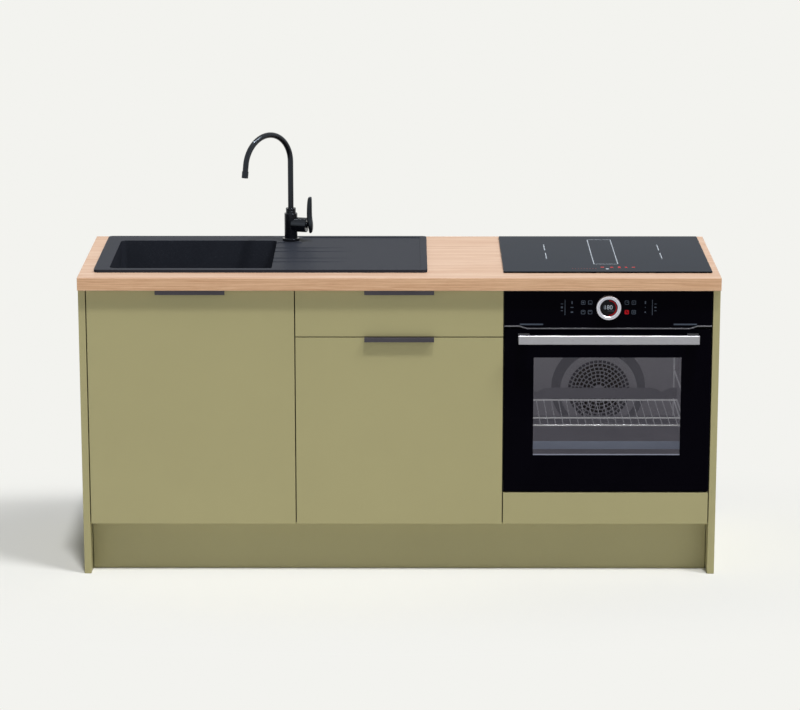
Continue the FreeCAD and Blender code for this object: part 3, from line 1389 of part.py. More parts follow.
def make_spout():
    """Upright pipe, arch and sloping end, made in the XZ plane and then turned to its side."""
    start = float(sink_top + size.tap_body_height - size.spout_hold + size.spout_foot_gap)
    rise = float(sink_top + size.spout_rise)
    arch = float(size.spout_arch)
    end_run = float(size.spout_end)

    def on_arch(degrees):
        turn = math.radians(degrees)
        return FreeCAD.Vector(arch * (1 - math.cos(turn)), 0, rise + arch * math.sin(turn))

    full = float(size.spout_arch_turn)
    leaving = math.radians(full)
    direction = FreeCAD.Vector(math.sin(leaving), 0, math.cos(leaving))
    foot = FreeCAD.Vector(0, 0, start)
    shoulder = on_arch(0)
    last = on_arch(full)
    tip = last + direction * end_run
    path = Part.Wire([Part.makeLine(foot, shoulder), Part.Arc(shoulder, on_arch(full / 2), last).toShape(),
                      Part.makeLine(last, tip)])
    pipes = []
    for radius in (size.spout_radius, size.spout_bore):
        ring = Part.Wire([Part.makeCircle(float(radius), foot, UPWARD)])
        pipes.append(path.makePipeShell([ring], True, False))
    spout = feature("tap_spout", pipes[0].cut(pipes[1]))
    spout.Placement = tap_placement(size.spout_yaw, 0)
    node("tap_spout", spout)
    length = float(size.aerator_length)
    outlet = Part.makeCylinder(float(size.aerator_radius), length, tip, direction)
    outlet = outlet.cut(Part.makeCylinder(float(size.spout_bore), length, tip, direction))
    aerator = feature("tap_aerator", outlet)
    aerator.Placement = tap_placement(size.spout_yaw, 0)
    node("tap_aerator", aerator)


def make_valve():
    """Valve housing, stem and lever, made along X from the tap's axis and then turned."""
    out = FreeCAD.Vector(1, 0, 0)
    reach = float(size.valve_reach)
    stem_r = float(size.stem_radius)
    stem_start = reach - float(size.stem_hold)
    stem_end = reach + float(size.stem_length)
    fit = float(size.pivot_fit)
    begin = float(size.valve_start)
    housing = Part.makeCylinder(float(size.valve_radius), reach - begin, FreeCAD.Vector(begin, 0, 0), out)
    tall = float(size.valve_radius) * 2
    core = Part.makeCylinder(float(size.tap_body_radius) + fit, tall * 2, FreeCAD.Vector(0, 0, -tall))
    bore = Part.makeCylinder(stem_r + fit, reach - stem_start, FreeCAD.Vector(stem_start, 0, 0), out)
    valve = feature("tap_valve", housing.cut(core).cut(bore))
    inner_face = stem_end + float(size.lever_gap)
    thick = float(size.lever_thick)
    pin_x = inner_face + thick / 2
    pin_r = float(size.lever_pin_radius)
    tongue = float(size.tongue_thick)
    tall_half = float(size.tongue_height) / 2
    stem = Part.makeCylinder(
        stem_r, stem_end - stem_start - fit, FreeCAD.Vector(stem_start + fit, 0, 0), out
    )
    tongue_box = Part.makeBox(
        pin_x - stem_end, tongue, tall_half * 2, FreeCAD.Vector(stem_end, -tongue / 2, -tall_half)
    )
    tongue_eye = Part.makeCylinder(
        tall_half, tongue, FreeCAD.Vector(pin_x, -tongue / 2, 0), FreeCAD.Vector(0, 1, 0)
    )
    pin_hole = Part.makeCylinder(
        pin_r + fit, tongue, FreeCAD.Vector(pin_x, -tongue / 2, 0), FreeCAD.Vector(0, 1, 0)
    )
    stem = feature(
        "tap_valve_stem", stem.multiFuse([tongue_box, tongue_eye]).cut(pin_hole).removeSplitter()
    )
    lever = feature("tap_lever", lever_shape(inner_face, pin_x))
    for piece in (valve, stem, lever):
        piece.Placement = tap_placement(size.valve_yaw, sink_top + size.valve_rise)
        node(piece.Name, piece)


def lever_shape(inner_face, pin_x):
    """A flat upright lever with a round top, thinned below the axis so that it can tilt."""
    low = -float(size.lever_low)
    high = float(size.lever_high)
    wide = float(size.lever_width) / 2
    tip = float(size.lever_top_width) / 2
    thick = float(size.lever_thick)
    outer_face = inner_face + thick
    foot_face = outer_face - float(size.lever_foot_thick)
    tip_centre = high - tip
    corners = [FreeCAD.Vector(inner_face, -wide, low), FreeCAD.Vector(inner_face, wide, low),
               FreeCAD.Vector(inner_face, tip, tip_centre), FreeCAD.Vector(inner_face, -tip, tip_centre)]
    sides = [Part.makeLine(corners[0], corners[1]), Part.makeLine(corners[1], corners[2]),
             Part.Arc(corners[2], FreeCAD.Vector(inner_face, 0, high), corners[3]).toShape(),
             Part.makeLine(corners[3], corners[0])]
    bar = Part.Face(Part.Wire(sides)).extrude(FreeCAD.Vector(thick, 0, 0))
    wedge_points = [FreeCAD.Vector(inner_face, -wide, 0), FreeCAD.Vector(inner_face, -wide, low),
                    FreeCAD.Vector(foot_face, -wide, low), FreeCAD.Vector(inner_face, -wide, 0)]
    wedge = Part.Face(Part.makePolygon(wedge_points)).extrude(FreeCAD.Vector(0, wide * 2, 0))
    tongue = float(size.tongue_thick + size.slip_fit * 2)
    slot_half = float(size.tongue_height) / 2 + float(size.tongue_room)
    slot = Part.makeBox(
        thick / 2 + slot_half, tongue, slot_half * 2,
        FreeCAD.Vector(inner_face, -tongue / 2, -slot_half)
    )
    pin = Part.makeCylinder(
        float(size.lever_pin_radius), wide, FreeCAD.Vector(pin_x, -wide / 2, 0), FreeCAD.Vector(0, 1, 0)
    )
    return bar.cut(wedge).cut(slot).fuse(pin).removeSplitter()


def check_and_write():
    """Recompute, refuse anything failed or empty, then write one file for each node."""
    doc.recompute()
    for item in doc.Objects:
        if "Invalid" in item.State or "Error" in item.State:
            raise RuntimeError(f"{item.Label} failed: {item.State}")
    for name, piece in NODES.items():
        if piece.Shape.isNull() or not piece.Shape.isValid():
            raise RuntimeError(f"{name} has no valid shape")
    os.makedirs("parts", exist_ok=True)
    for name, piece in NODES.items():
        piece.Shape.exportStep(f"parts/{name}.step")
        box = piece.Shape.BoundBox
        print(name, len(piece.Shape.Solids), round(piece.Shape.Volume), round(box.XMin), round(box.XMax),
              round(box.YMin), round(box.YMax), round(box.ZMin), round(box.ZMax))
    print(len(NODES), "nodes")


make_boards()
make_rails()
make_backs()
make_end_panels()
make_worktop()
make_legs()
make_plinth()
make_filler_panel()
make_sink()
make_waste()
make_trap()
make_sink_door()
make_hinges()
make_drawers()
make_hob()
make_oven_casing()
make_oven_cavity()
make_oven_fan()
make_side_racks()
make_rack_and_tray()
make_grill()
make_control_panel()
make_oven_door()
make_tap()
check_and_write()
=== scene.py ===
import json
import math

import bmesh
import bpy
from mathutils import Matrix, Vector


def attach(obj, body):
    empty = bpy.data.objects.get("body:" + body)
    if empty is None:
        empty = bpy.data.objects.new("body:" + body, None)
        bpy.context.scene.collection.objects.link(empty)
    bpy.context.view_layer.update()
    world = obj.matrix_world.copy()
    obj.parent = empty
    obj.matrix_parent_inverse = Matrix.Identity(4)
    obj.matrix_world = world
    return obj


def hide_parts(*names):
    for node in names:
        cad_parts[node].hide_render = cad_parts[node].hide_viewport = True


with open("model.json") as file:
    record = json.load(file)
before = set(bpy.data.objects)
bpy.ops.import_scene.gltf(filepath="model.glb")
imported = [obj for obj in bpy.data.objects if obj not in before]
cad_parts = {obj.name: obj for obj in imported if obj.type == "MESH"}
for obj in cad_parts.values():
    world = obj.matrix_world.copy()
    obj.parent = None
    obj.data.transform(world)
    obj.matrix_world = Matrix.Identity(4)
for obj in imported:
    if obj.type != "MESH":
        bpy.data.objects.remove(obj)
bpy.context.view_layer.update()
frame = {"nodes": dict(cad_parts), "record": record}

# Run of kitchen base units: sink unit, drawer unit and oven unit under one oak worktop.
# Metres, in the frame of the CAD: X right, Y to the wall, Z up.
nodes = frame["nodes"]
scene = bpy.context.scene
print("frame loaded:", len(nodes), "nodes")

# Camera, light and floor
cameraSettings = {"place": (0.0187, -8.9567, 2.7588), "pitch": 13.594, "pan": 0.108, "lens": 139.93,
                  "sensor": 36.0}
lightSettings = {
    "backdrop": (0.896, 0.896, 0.863, 1.0),
    "sky": (0.93, 0.96, 1.0, 1.0),
    "skyStrength": 0.22,
    "suns": [  # name, strength, degrees above the horizon, degrees to the left of the front, softness
        ("keyLight", 1.75, 72.0, -14.0, 5.0),
        ("sideLight", 1.5, 58.0, -62.0, 14.0),
    ],
    "lamps": [
        # name, place, aim, width, height, power, colour
        ("softboxLeft", (-3.4, -4.4, 3.4), (0.0, 0.0, 0.5), 2.6, 2.6, 9.5, (1.0, 0.985, 0.96)),
        ("softboxRight", (4.2, -3.8, 2.6), (0.2, 0.0, 0.5), 2.2, 2.2, 11.0, (0.94, 0.97, 1.0)),
    ],
}
floorSettings = {"half": 30.0, "level": -0.0005, "colour": (0.745, 0.745, 0.72, 1.0),
                 "oval": (0.66, 1.5, 1.0), "fade": (0.85, 1.5)}


def paint(red, green, blue):  # a colour as a picture shows it, 0 to 255, for a node socket
    shares = [value / 255 for value in (red, green, blue)]
    linear = [s / 12.92 if s <= 0.04045 else ((s + 0.055) / 1.055) ** 2.4 for s in shares]
    return (*linear, 1.0)


def linked(name, data):
    piece = bpy.data.objects.new(name, data)
    scene.collection.objects.link(piece)
    return piece


def added(tree, kind, inputs=None, **settings):  # a node, its settings, and its inputs as sockets or values
    made = tree.nodes.new(kind)
    for label, value in settings.items():
        setattr(made, label, value)
    for label, value in (inputs or {}).items():
        if isinstance(value, bpy.types.NodeSocket):
            tree.links.new(value, made.inputs[label])
        else:
            made.inputs[label].default_value = value
    return made


def combined(tree, operation, first, second):
    return added(tree, "ShaderNodeMath", {0: first, 1: second}, operation=operation).outputs[0]


def makeCamera():
    data = bpy.data.cameras.new("photoCamera")
    data.lens = cameraSettings["lens"]
    data.sensor_width = cameraSettings["sensor"]
    camera = linked("photoCamera", data)
    camera.location = cameraSettings["place"]
    camera.rotation_euler = (math.radians(90 - cameraSettings["pitch"]), 0,
                             math.radians(cameraSettings["pan"]))
    scene.camera = camera


def makeLamps():
    for name, place, aim, width, height, power, colour in lightSettings["lamps"]:
        data = bpy.data.lights.new(name, "AREA")
        data.shape = "RECTANGLE"
        data.size = width
        data.size_y = height
        data.energy = power
        data.color = colour
        lamp = linked(name, data)
        lamp.location = place
        lamp.rotation_euler = (Vector(aim) - Vector(place)).to_track_quat("-Z", "Y").to_euler()
    for name, strength, height, side, softness in lightSettings["suns"]:
        data = bpy.data.lights.new(name, "SUN")
        data.energy = strength
        data.angle = math.radians(softness)
        linked(name, data).rotation_euler = (math.radians(90 - height), 0, math.radians(-side))


def makeWorld():
    world = bpy.data.worlds.new("studio")
    scene.world = world
    world.use_nodes = True
    tree = world.node_tree
    tree.nodes.clear()
    path = added(tree, "ShaderNodeLightPath").outputs
    direct = combined(tree, "MAXIMUM", path["Is Camera Ray"], path["Is Transmission Ray"])
    seen = combined(tree, "MAXIMUM", direct, path["Is Glossy Ray"])
    sky = added(tree, "ShaderNodeBackground", {"Color": lightSettings["sky"],
                                               "Strength": lightSettings["skyStrength"]})
    backdrop = added(tree, "ShaderNodeBackground", {"Color": lightSettings["backdrop"]})
    mix = added(tree, "ShaderNodeMixShader", {"Fac": seen, 1: sky.outputs[0], 2: backdrop.outputs[0]})
    added(tree, "ShaderNodeOutputWorld", {"Surface": mix.outputs[0]})


def makeFloor():  # it fades into the backdrop's colour away from the object
    half = floorSettings["half"]
    mesh = bpy.data.meshes.new("studioFloor")
    corners = [(-half, -half, 0), (half, -half, 0), (half, half, 0), (-half, half, 0)]
    mesh.from_pydata(corners, [], [(0, 1, 2, 3)])
    floor = linked("studioFloor", mesh)
    floor.location = (0, 0, floorSettings["level"])
    material = bpy.data.materials.new("studioFloor")
    material.use_nodes = True
    tree = material.node_tree
    tree.nodes.clear()
    diffuse = added(tree, "ShaderNodeBsdfDiffuse", {"Color": floorSettings["colour"]})
    glow = added(tree, "ShaderNodeEmission", {"Color": lightSettings["backdrop"]})
    coordinates = added(tree, "ShaderNodeTexCoord").outputs["Object"]
    oval = added(tree, "ShaderNodeVectorMath", {0: coordinates, 1: floorSettings["oval"]},
                 operation="MULTIPLY").outputs[0]
    distance = added(tree, "ShaderNodeVectorMath", {0: oval}, operation="LENGTH").outputs["Value"]
    near, far = floorSettings["fade"]
    fade = added(tree, "ShaderNodeMapRange", {"Value": distance, "From Min": near, "From Max": far},
                 interpolation_type="SMOOTHSTEP")
    mix = added(tree, "ShaderNodeMixShader", {"Fac": fade.outputs["Result"], 1: diffuse.outputs[0],
                                              2: glow.outputs[0]})
    added(tree, "ShaderNodeOutputMaterial", {"Surface": mix.outputs[0]})
    mesh.materials.append(material)


makeCamera()
makeLamps()
makeWorld()
makeFloor()
scene.view_settings.view_transform = "Standard"
print("studio ready")


def newTree(name, kind, inputs, outputs):  # a node group with its sockets, its input and its output node
    tree = bpy.data.node_groups.new(name, kind)
    for way, sockets in (("INPUT", inputs), ("OUTPUT", outputs)):
        for label, socketKind in sockets.items():
            tree.interface.new_socket(label, in_out=way, socket_type="NodeSocket" + socketKind)
    return tree, tree.nodes.new("NodeGroupInput"), tree.nodes.new("NodeGroupOutput")


def noise(tree, vector, scale, detail, rough=0.5, spread=0.0):
    return added(tree, "ShaderNodeTexNoise", {"Vector": vector, "Scale": scale, "Detail": detail,
                                              "Roughness": rough, "Distortion": spread}).outputs["Fac"]


def ranged(tree, value, low, high, toLow=0.0, toHigh=1.0):
    return added(tree, "ShaderNodeMapRange", {"Value": value, "From Min": low, "From Max": high,
                                              "To Min": toLow, "To Max": toHigh}).outputs["Result"]


def makePattern(name, rule, ends=("Light", "Dark")):
    tree, given, taken = newTree(name, "ShaderNodeTree", {
        "Vector": "Vector", "Scale": "Float", "Stretch": "Vector", "Light": "Color", "Dark": "Color",
    }, {"Color": "Color", "Height": "Float", "Mask": "Float"})
    given = given.outputs
    wide = added(tree, "ShaderNodeVectorMath", {0: given["Vector"], 1: given["Stretch"]},
                 operation="MULTIPLY").outputs[0]
    vector = added(tree, "ShaderNodeVectorMath", {0: wide, "Scale": given["Scale"]},
                   operation="SCALE").outputs[0]
    share, height = rule(tree, given, vector)
    colour = added(tree, "ShaderNodeMix", {"Factor": share, 6: given[ends[0]], 7: given[ends[1]]},
                   data_type="RGBA").outputs[2]
    for label, socket in (("Color", colour), ("Height", height), ("Mask", share)):
        tree.links.new(socket, taken.inputs[label])
    return tree


def layer(tree, vector, look, span):
    return ranged(tree, noise(tree, vector, *look), *span)


# Surface patterns, shared by the materials: each rule gives the share of the second colour, and a height.
# Noises are scale, detail, roughness and distortion; the ranges after them are what is taken, and as what.
patternLook = {
    "peel": (620.0, 2.0), "lacquerShade": ((2.6, 3.0), (0.3, 0.7)),
    "lines": (900.0, 3.0, 0.6), "lineRange": (0.3, 0.7), "lineShade": ((14.0, 2.0), (0.2, 0.8, 0.6, 1.0)),
    "flecks": ((760.0, 3.0, 0.6), (0.56, 0.70)), "clouds": ((30.0, 3.0), (0.3, 0.7, 0.5, 1.0)),
    "fleckHeight": 0.5, "resin": (380.0, 4.0),
    "wipes": (5.0, 5.0, 0.62, 1.2), "wipeRange": (0.35, 0.75, 0.0, 0.8),
    "dust": ((240.0, 2.0), (0.62, 0.78)), "dustShare": 0.2,
    "spark": (1400.0, 3.0, 0.65), "mouldedShade": ((9.0, 3.0), (0.25, 0.75)),
}
woodLook = {  # noise, range, and share in the shade
    "bands": ((7.0, 4.0, 0.55, 0.6), (0.36, 0.66), 0.55), "fibres": ((46.0, 5.0, 0.6), (0.34, 0.68), 0.35),
    "bend": ((1.1, 2.0), (0.3, 0.7), 0.14), "pores": ((120.0, 2.0), (0.60, 0.72), 0.22),
}
woodShade = {"range": (0.1, 1.0), "fibreDepth": 0.4}


def lacquerRule(tree, given, vector):  # fine orange peel, with broad and very faint changes of shade
    return layer(tree, vector, *patternLook["lacquerShade"]), noise(tree, vector, *patternLook["peel"])


def brushedRule(tree, given, vector):  # long fine lines, stretched by the Stretch input
    lines = noise(tree, vector, *patternLook["lines"])
    broad = layer(tree, given["Vector"], *patternLook["lineShade"])
    return combined(tree, "MULTIPLY", ranged(tree, lines, *patternLook["lineRange"]), broad), lines


def woodRule(tree, given, vector):  # oak: cathedral bands, fine fibres and short dark pores along X
    noises = {label: noise(tree, vector, *look) for label, (look, span, share) in woodLook.items()}
    spans = {label: ranged(tree, noises[label], *span) for label, (look, span, share) in woodLook.items()}
    bands, fibres, bend, pores = (combined(tree, "MULTIPLY", spans[label], share)
                                  for label, (look, span, share) in woodLook.items())
    total = combined(tree, "ADD", combined(tree, "ADD", bands, fibres), combined(tree, "ADD", bend, pores))
    dips = combined(tree, "ADD", combined(tree, "MULTIPLY", noises["fibres"], woodShade["fibreDepth"]),
                    spans["pores"])
    return ranged(tree, total, *woodShade["range"]), combined(tree, "SUBTRACT", 1.0, dips)


def stoneRule(tree, given, vector):  # quartz composite: dense small flecks in a dark resin, softly granular
    flecks, clouds = (layer(tree, vector, *patternLook[label]) for label in ("flecks", "clouds"))
    height = combined(tree, "ADD", combined(tree, "MULTIPLY", flecks, patternLook["fleckHeight"]),
                      noise(tree, vector, *patternLook["resin"]))
    return combined(tree, "MULTIPLY", flecks, clouds), height


def smudgeRule(tree, given, vector):  # glass and polish: nearly even, with faint wiping marks
    wipes = noise(tree, vector, *patternLook["wipes"])
    dust = combined(tree, "MULTIPLY", layer(tree, vector, *patternLook["dust"]), patternLook["dustShare"])
    return combined(tree, "ADD", ranged(tree, wipes, *patternLook["wipeRange"]), dust), wipes


def mouldedRule(tree, given, vector):  # plastic and enamel: a fine spark-eroded texture
    return layer(tree, vector, *patternLook["mouldedShade"]), noise(tree, vector, *patternLook["spark"])


patterns = {
    "lacquer": makePattern("lacquerGrain", lacquerRule),
    "brushed": makePattern("brushedLines", brushedRule),
    "wood": makePattern("oakGrain", woodRule),
    "stone": makePattern("compositeFlecks", stoneRule, ("Dark", "Light")),
    "smudge": makePattern("wipedGlass", smudgeRule),
    "moulded": makePattern("mouldedTexture", mouldedRule),
}

# Each finish: pattern, light colour, dark colour, roughness from and to, and what else it needs;
# relief is in millimetres
finishes = {
    "oliveLacquer": ("lacquer", (167, 160, 116), (164, 157, 114), (0.5, 0.56), {"relief": 0.012}),
    "oakTop": ("wood", (222, 191, 166), (196, 155, 126), (0.42, 0.55),
               {"relief": 0.03, "stretch": (0.35, 9.0, 9.0)}),
    "oakEdge": ("wood", (228, 188, 152), (178, 129, 91), (0.45, 0.56),
                {"relief": 0.03, "stretch": (0.7, 14.0, 52.0)}),
    "whiteBoard": ("moulded", (232, 232, 228), (226, 226, 222), (0.48, 0.55), {"relief": 0.02}),
    # Dark front edge of the unit boards: painted shade in the gaps between the fronts
    "carcassEdgeShade": ("lacquer", (48, 46, 37), (42, 40, 32), (0.55, 0.62), {"relief": 0.01}),
    "blackPlastic": ("moulded", (46, 46, 48), (38, 38, 40), (0.5, 0.62), {"relief": 0.03}),
    "composite": ("stone", (77, 81, 92), (47, 50, 58), (0.42, 0.58), {"relief": 0.05, "ior": 1.08}),
    "steel": ("brushed", (206, 206, 208), (176, 176, 179), (0.24, 0.36),
              {"relief": 0.008, "stretch": (0.05, 1.0, 1.0), "metal": 1.0}),
    # The wire finishes glow: painted light on the oven's racks; the dimmer one is on the bars running back
    # and on the side racks
    "wire": ("smudge", (214, 214, 216), (196, 196, 200), (0.2, 0.3), {"metal": 0.6, "glow": 0.45}),
    "wireThin": ("smudge", (206, 206, 212), (190, 190, 196), (0.25, 0.35), {"metal": 0.7, "glow": 0.26}),
    "trimMetal": ("brushed", (120, 120, 126), (104, 104, 110), (0.3, 0.4),
                  {"relief": 0.004, "stretch": (0.03, 1.0, 1.0), "metal": 0.85}),
    "whitePlastic": ("moulded", (236, 236, 232), (228, 228, 223), (0.36, 0.44), {"relief": 0.02}),
    "pullMetal": ("moulded", (74, 71, 78), (64, 61, 68), (0.4, 0.48), {"relief": 0.012, "metal": 0.6}),
    "hobGlass": ("smudge", (19, 30, 45), (23, 34, 50), (0.1, 0.12),
                 {"ior": 1.05, "tint": (0.8, 0.92, 1.0)}),
    "doorGlass": ("smudge", (9, 8, 13), (13, 12, 17), (0.04, 0.09), {"alpha": 0.14, "ior": 1.1}),
    "panelGlass": ("smudge", (4, 3, 9), (6, 5, 11), (0.05, 0.11), {"ior": 1.06}),
    "galvanised": ("stone", (188, 190, 192), (160, 163, 166), (0.36, 0.5),
                   {"relief": 0.01, "metal": 0.9, "scale": 0.09}),
    # The oven's enamel finishes glow: painted light inside the oven, which no lamp lights
    "enamel": ("moulded", (128, 126, 134), (118, 116, 124), (0.3, 0.42), {"relief": 0.02, "glow": 0.34}),
    # A lighter enamel that glows more: painted light on the oven's rear wall and the fan guard's plate
    "enamelPaintedLight": ("moulded", (140, 138, 145), (132, 130, 137), (0.3, 0.42),
                   {"relief": 0.02, "glow": 0.42}),
    # A darker enamel: painted shade on the fan guard's slanted rim
    "enamelPaintedShade": ("moulded", (112, 111, 118), (104, 103, 110), (0.35, 0.45),
                   {"relief": 0.02, "glow": 0.38}),
    # A dark enamel: painted shadow on the rear wall behind the fan
    "enamelPaintedShadow": ("moulded", (82, 81, 87), (76, 75, 81), (0.5, 0.6), {"relief": 0.02, "glow": 0.3}),
    # Bluish enamel with a strong glow: painted light on the front of the tray's lip
    "trayEnamel": ("moulded", (126, 132, 148), (118, 124, 140), (0.25, 0.36),
                   {"relief": 0.01, "glow": 0.62}),
    # A glowing metal lip: painted highlight under the oven's window
    "windowLipHighlight": ("brushed", (168, 172, 190), (150, 154, 172), (0.3, 0.4),
                  {"stretch": (0.05, 1.0, 1.0), "metal": 0.3, "glow": 0.3}),
    "heater": ("moulded", (96, 90, 86), (74, 70, 68), (0.4, 0.55), {"relief": 0.03, "metal": 0.8}),
    "display": ("smudge", (10, 10, 14), (14, 14, 18), (0.06, 0.12), {"ior": 1.2}),
    "dialMetal": ("brushed", (222, 222, 232), (200, 200, 211), (0.26, 0.36),
                  {"relief": 0.005, "metal": 0.85}),
    "frameBlack": ("moulded", (8, 7, 12), (5, 4, 9), (0.5, 0.6), {"relief": 0.01, "ior": 1.06}),
    "handleMetal": ("brushed", (168, 168, 174), (152, 152, 159), (0.26, 0.38),
                    {"relief": 0.006, "stretch": (0.03, 1.0, 1.0), "metal": 0.9}),
    "tapBlack": ("moulded", (20, 20, 24), (16, 16, 19), (0.16, 0.22),
                 {"ior": 1.45, "tint": (0.72, 0.84, 1.0)}),
    "printGrey": ("smudge", (78, 86, 99), (68, 76, 88), (0.3, 0.4), {"ior": 1.1}),
    "printPale": ("smudge", (176, 184, 194), (160, 168, 178), (0.3, 0.4), {"ior": 1.1}),
    "printRed": ("smudge", (190, 28, 36), (170, 22, 30), (0.3, 0.4), {"ior": 1.1}),
    "printDim": ("smudge", (120, 44, 56), (104, 40, 50), (0.3, 0.4), {"ior": 1.1}),
    # Brown of the board's core, darkened as painted shade for the depth of the shelf-pin holes
    "drilledCoreAndShade": ("moulded", (74, 68, 60), (60, 54, 47), (0.8, 0.9), {"relief": 0.05}),
}
plainFinish = {"scale": 1.0, "stretch": (1.0, 1.0, 1.0), "metal": 0.0, "ior": 1.45, "alpha": 1.0}
reliefStrength = 0.6
built = {}


def finish(name):  # the material for one finish, made on first use
    if name in built:
        return built[name]
    kind, light, dark, rough, more = finishes[name]
    more = {**plainFinish, **more}
    material = bpy.data.materials.new(name)
    material.use_nodes = True
    tree = material.node_tree
    shader = next(node for node in tree.nodes if node.type == "BSDF_PRINCIPLED")
    pattern = added(tree, "ShaderNodeGroup", {
        "Vector": added(tree, "ShaderNodeTexCoord").outputs["Object"], "Scale": more["scale"],
        "Stretch": more["stretch"], "Light": paint(*light), "Dark": paint(*dark),
    }, node_tree=patterns[kind]).outputs
    tree.links.new(pattern["Color"], shader.inputs["Base Color"])
    tree.links.new(ranged(tree, pattern["Mask"], 0.0, 1.0, *rough), shader.inputs["Roughness"])
    if "relief" in more:
        bump = added(tree, "ShaderNodeBump", {"Strength": reliefStrength, "Height": pattern["Height"],
                                              "Distance": more["relief"] / 1000})
        tree.links.new(bump.outputs["Normal"], shader.inputs["Normal"])
    for label, key in (("Metallic", "metal"), ("IOR", "ior"), ("Alpha", "alpha")):
        shader.inputs[label].default_value = more[key]
    if "tint" in more:
        shader.inputs["Specular Tint"].default_value = (*more["tint"], 1.0)
    # A glow is painted light, given to parts that are no lamp
    if "glow" in more:
        shader.inputs["Emission Color"].default_value = paint(*light)
        shader.inputs["Emission Strength"].default_value = more["glow"]
    built[name] = material
    return material


# Which finish each CAD piece wears
dressing = {
    "oliveLacquer": ["sink_door_panel", "upper_drawer_front", "lower_drawer_front", "end_panels",
                     "oven_filler_panel", "plinth"],
    "oakTop": ["worktop"],
    "whiteBoard": ["unit_sides", "unit_floors", "unit_rails", "unit_back_panels", "upper_drawer_sides",
                   "upper_drawer_back", "upper_drawer_bottom", "lower_drawer_sides", "lower_drawer_back",
                   "lower_drawer_bottom"],
    "blackPlastic": ["leveling_legs", "plinth_clips", "oven_control_box", "tap_nut", "oven_door_hinges"],
    "composite": ["sink_top"],
    "steel": ["sink_waste", "sink_strainer", "hinge_arms", "hinge_links", "hinge_cups",
              "drawer_runner_rails", "upper_drawer_slides", "lower_drawer_slides", "oven_fan_motor"],
    "wire": ["oven_wire_rack"],
    "wireThin": ["oven_side_racks"],
    "whitePlastic": ["waste_trap"],
    "pullMetal": ["sink_door_pull", "upper_drawer_pull", "lower_drawer_pull"],
    "hobGlass": ["hob_glass"],
    "doorGlass": ["oven_door_glass", "oven_door_inner_glass"],
    "panelGlass": ["oven_control_panel"],
    "galvanised": ["oven_casing", "hob_case"],
    "enamel": ["oven_cavity", "oven_fan_cover"],
    "trayEnamel": ["oven_tray"],
    "heater": ["oven_grill_element", "oven_fan"],
    "display": ["oven_display"],
    "dialMetal": ["oven_dial"],
    "frameBlack": ["oven_door_frame"],
    "handleMetal": ["oven_door_handle"],
    "trimMetal": ["oven_door_trim"],
    "tapBlack": ["tap_body", "tap_spout", "tap_aerator", "tap_valve", "tap_valve_stem", "tap_lever"],
}
for name, wearers in dressing.items():
    for wearer in wearers:
        for place in nodes[wearer].material_slots:
            place.material = finish(name)
print("finishes on", sum(len(wearers) for wearers in dressing.values()), "CAD pieces")


# Softened edges: a merged copy of a CAD piece with its sharp edges eased
easing = {  # node: radius in millimetres
    "worktop": 1.0, "end_panels": 0.8, "sink_door_panel": 1.2, "upper_drawer_front": 1.2,
    "lower_drawer_front": 1.2, "oven_filler_panel": 1.0, "plinth": 0.8, "sink_top": 2.2,
    "sink_door_pull": 0.5, "upper_drawer_pull": 0.5, "lower_drawer_pull": 0.5, "hob_glass": 0.8,
    "oven_control_panel": 0.5, "oven_door_glass": 0.5, "oven_door_trim": 0.4, "oven_door_handle": 0.8,
    "oven_dial": 0.5, "oven_display": 0.5, "tap_body": 0.8, "tap_aerator": 0.6, "tap_valve": 2.0,
    "sink_waste": 0.5, "sink_strainer": 0.4,
}
bodyOf = {name: body for body, names in frame["record"]["behaviour"]["bodies"].items() for name in names}
# Distances in metres within which corners are one, and the angle within which faces are one
mergeRule = {"weld": 0.00002, "least": 0.00001, "same": 0.000001, "flat": math.radians(0.6)}
bevelRule = {"segments": 3, "limit_method": "ANGLE", "angle_limit": math.radians(35),
             "use_clamp_overlap": True, "harden_normals": False, "miter_outer": "MITER_ARC"}


def mergedCopy(name, suffix, flatten=True):
    mesh = nodes[name].data.copy()
    mesh.name = name + suffix
    work = bmesh.new()
    work.from_mesh(mesh)
    bmesh.ops.remove_doubles(work, verts=work.verts, dist=mergeRule["weld"])
    bmesh.ops.dissolve_degenerate(work, edges=work.edges, dist=mergeRule["least"])
    if flatten:
        bmesh.ops.dissolve_limit(work, angle_limit=mergeRule["flat"], verts=work.verts, edges=work.edges)
    work.to_mesh(mesh)
    work.free()
    return linked(name + suffix, mesh)


def plain(piece):  # the evaluated mesh takes the place of the mesh and its modifiers
    graph = bpy.context.evaluated_depsgraph_get()
    mesh = bpy.data.meshes.new_from_object(piece.evaluated_get(graph), depsgraph=graph)
    mesh.name = piece.name
    piece.modifiers.clear()
    piece.data = mesh


def shadeByAngle(piece, degrees=32.0):
    mesh = piece.data
    mesh.polygons.foreach_set("use_smooth", [True] * len(mesh.polygons))
    mesh.set_sharp_from_angle(angle=math.radians(degrees))
    mesh.update()


def shadeByArea(piece):  # large flat faces keep their own normal beside small curved ones
    shadeByAngle(piece)
    piece.modifiers.new("weightedNormals", "WEIGHTED_NORMAL").keep_sharp = True
    plain(piece)


def standFor(piece, name):  # on the CAD piece's body, in its place; the CAD piece is hidden
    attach(piece, bodyOf[name])
    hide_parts(name)


def soften(name, radius):
    piece = mergedCopy(name, "Eased")
    bevel = piece.modifiers.new("easedEdge", "BEVEL")
    bevel.width = radius / 1000
    for label, value in bevelRule.items():
        setattr(bevel, label, value)
    plain(piece)
    shadeByArea(piece)
    standFor(piece, name)
    return piece


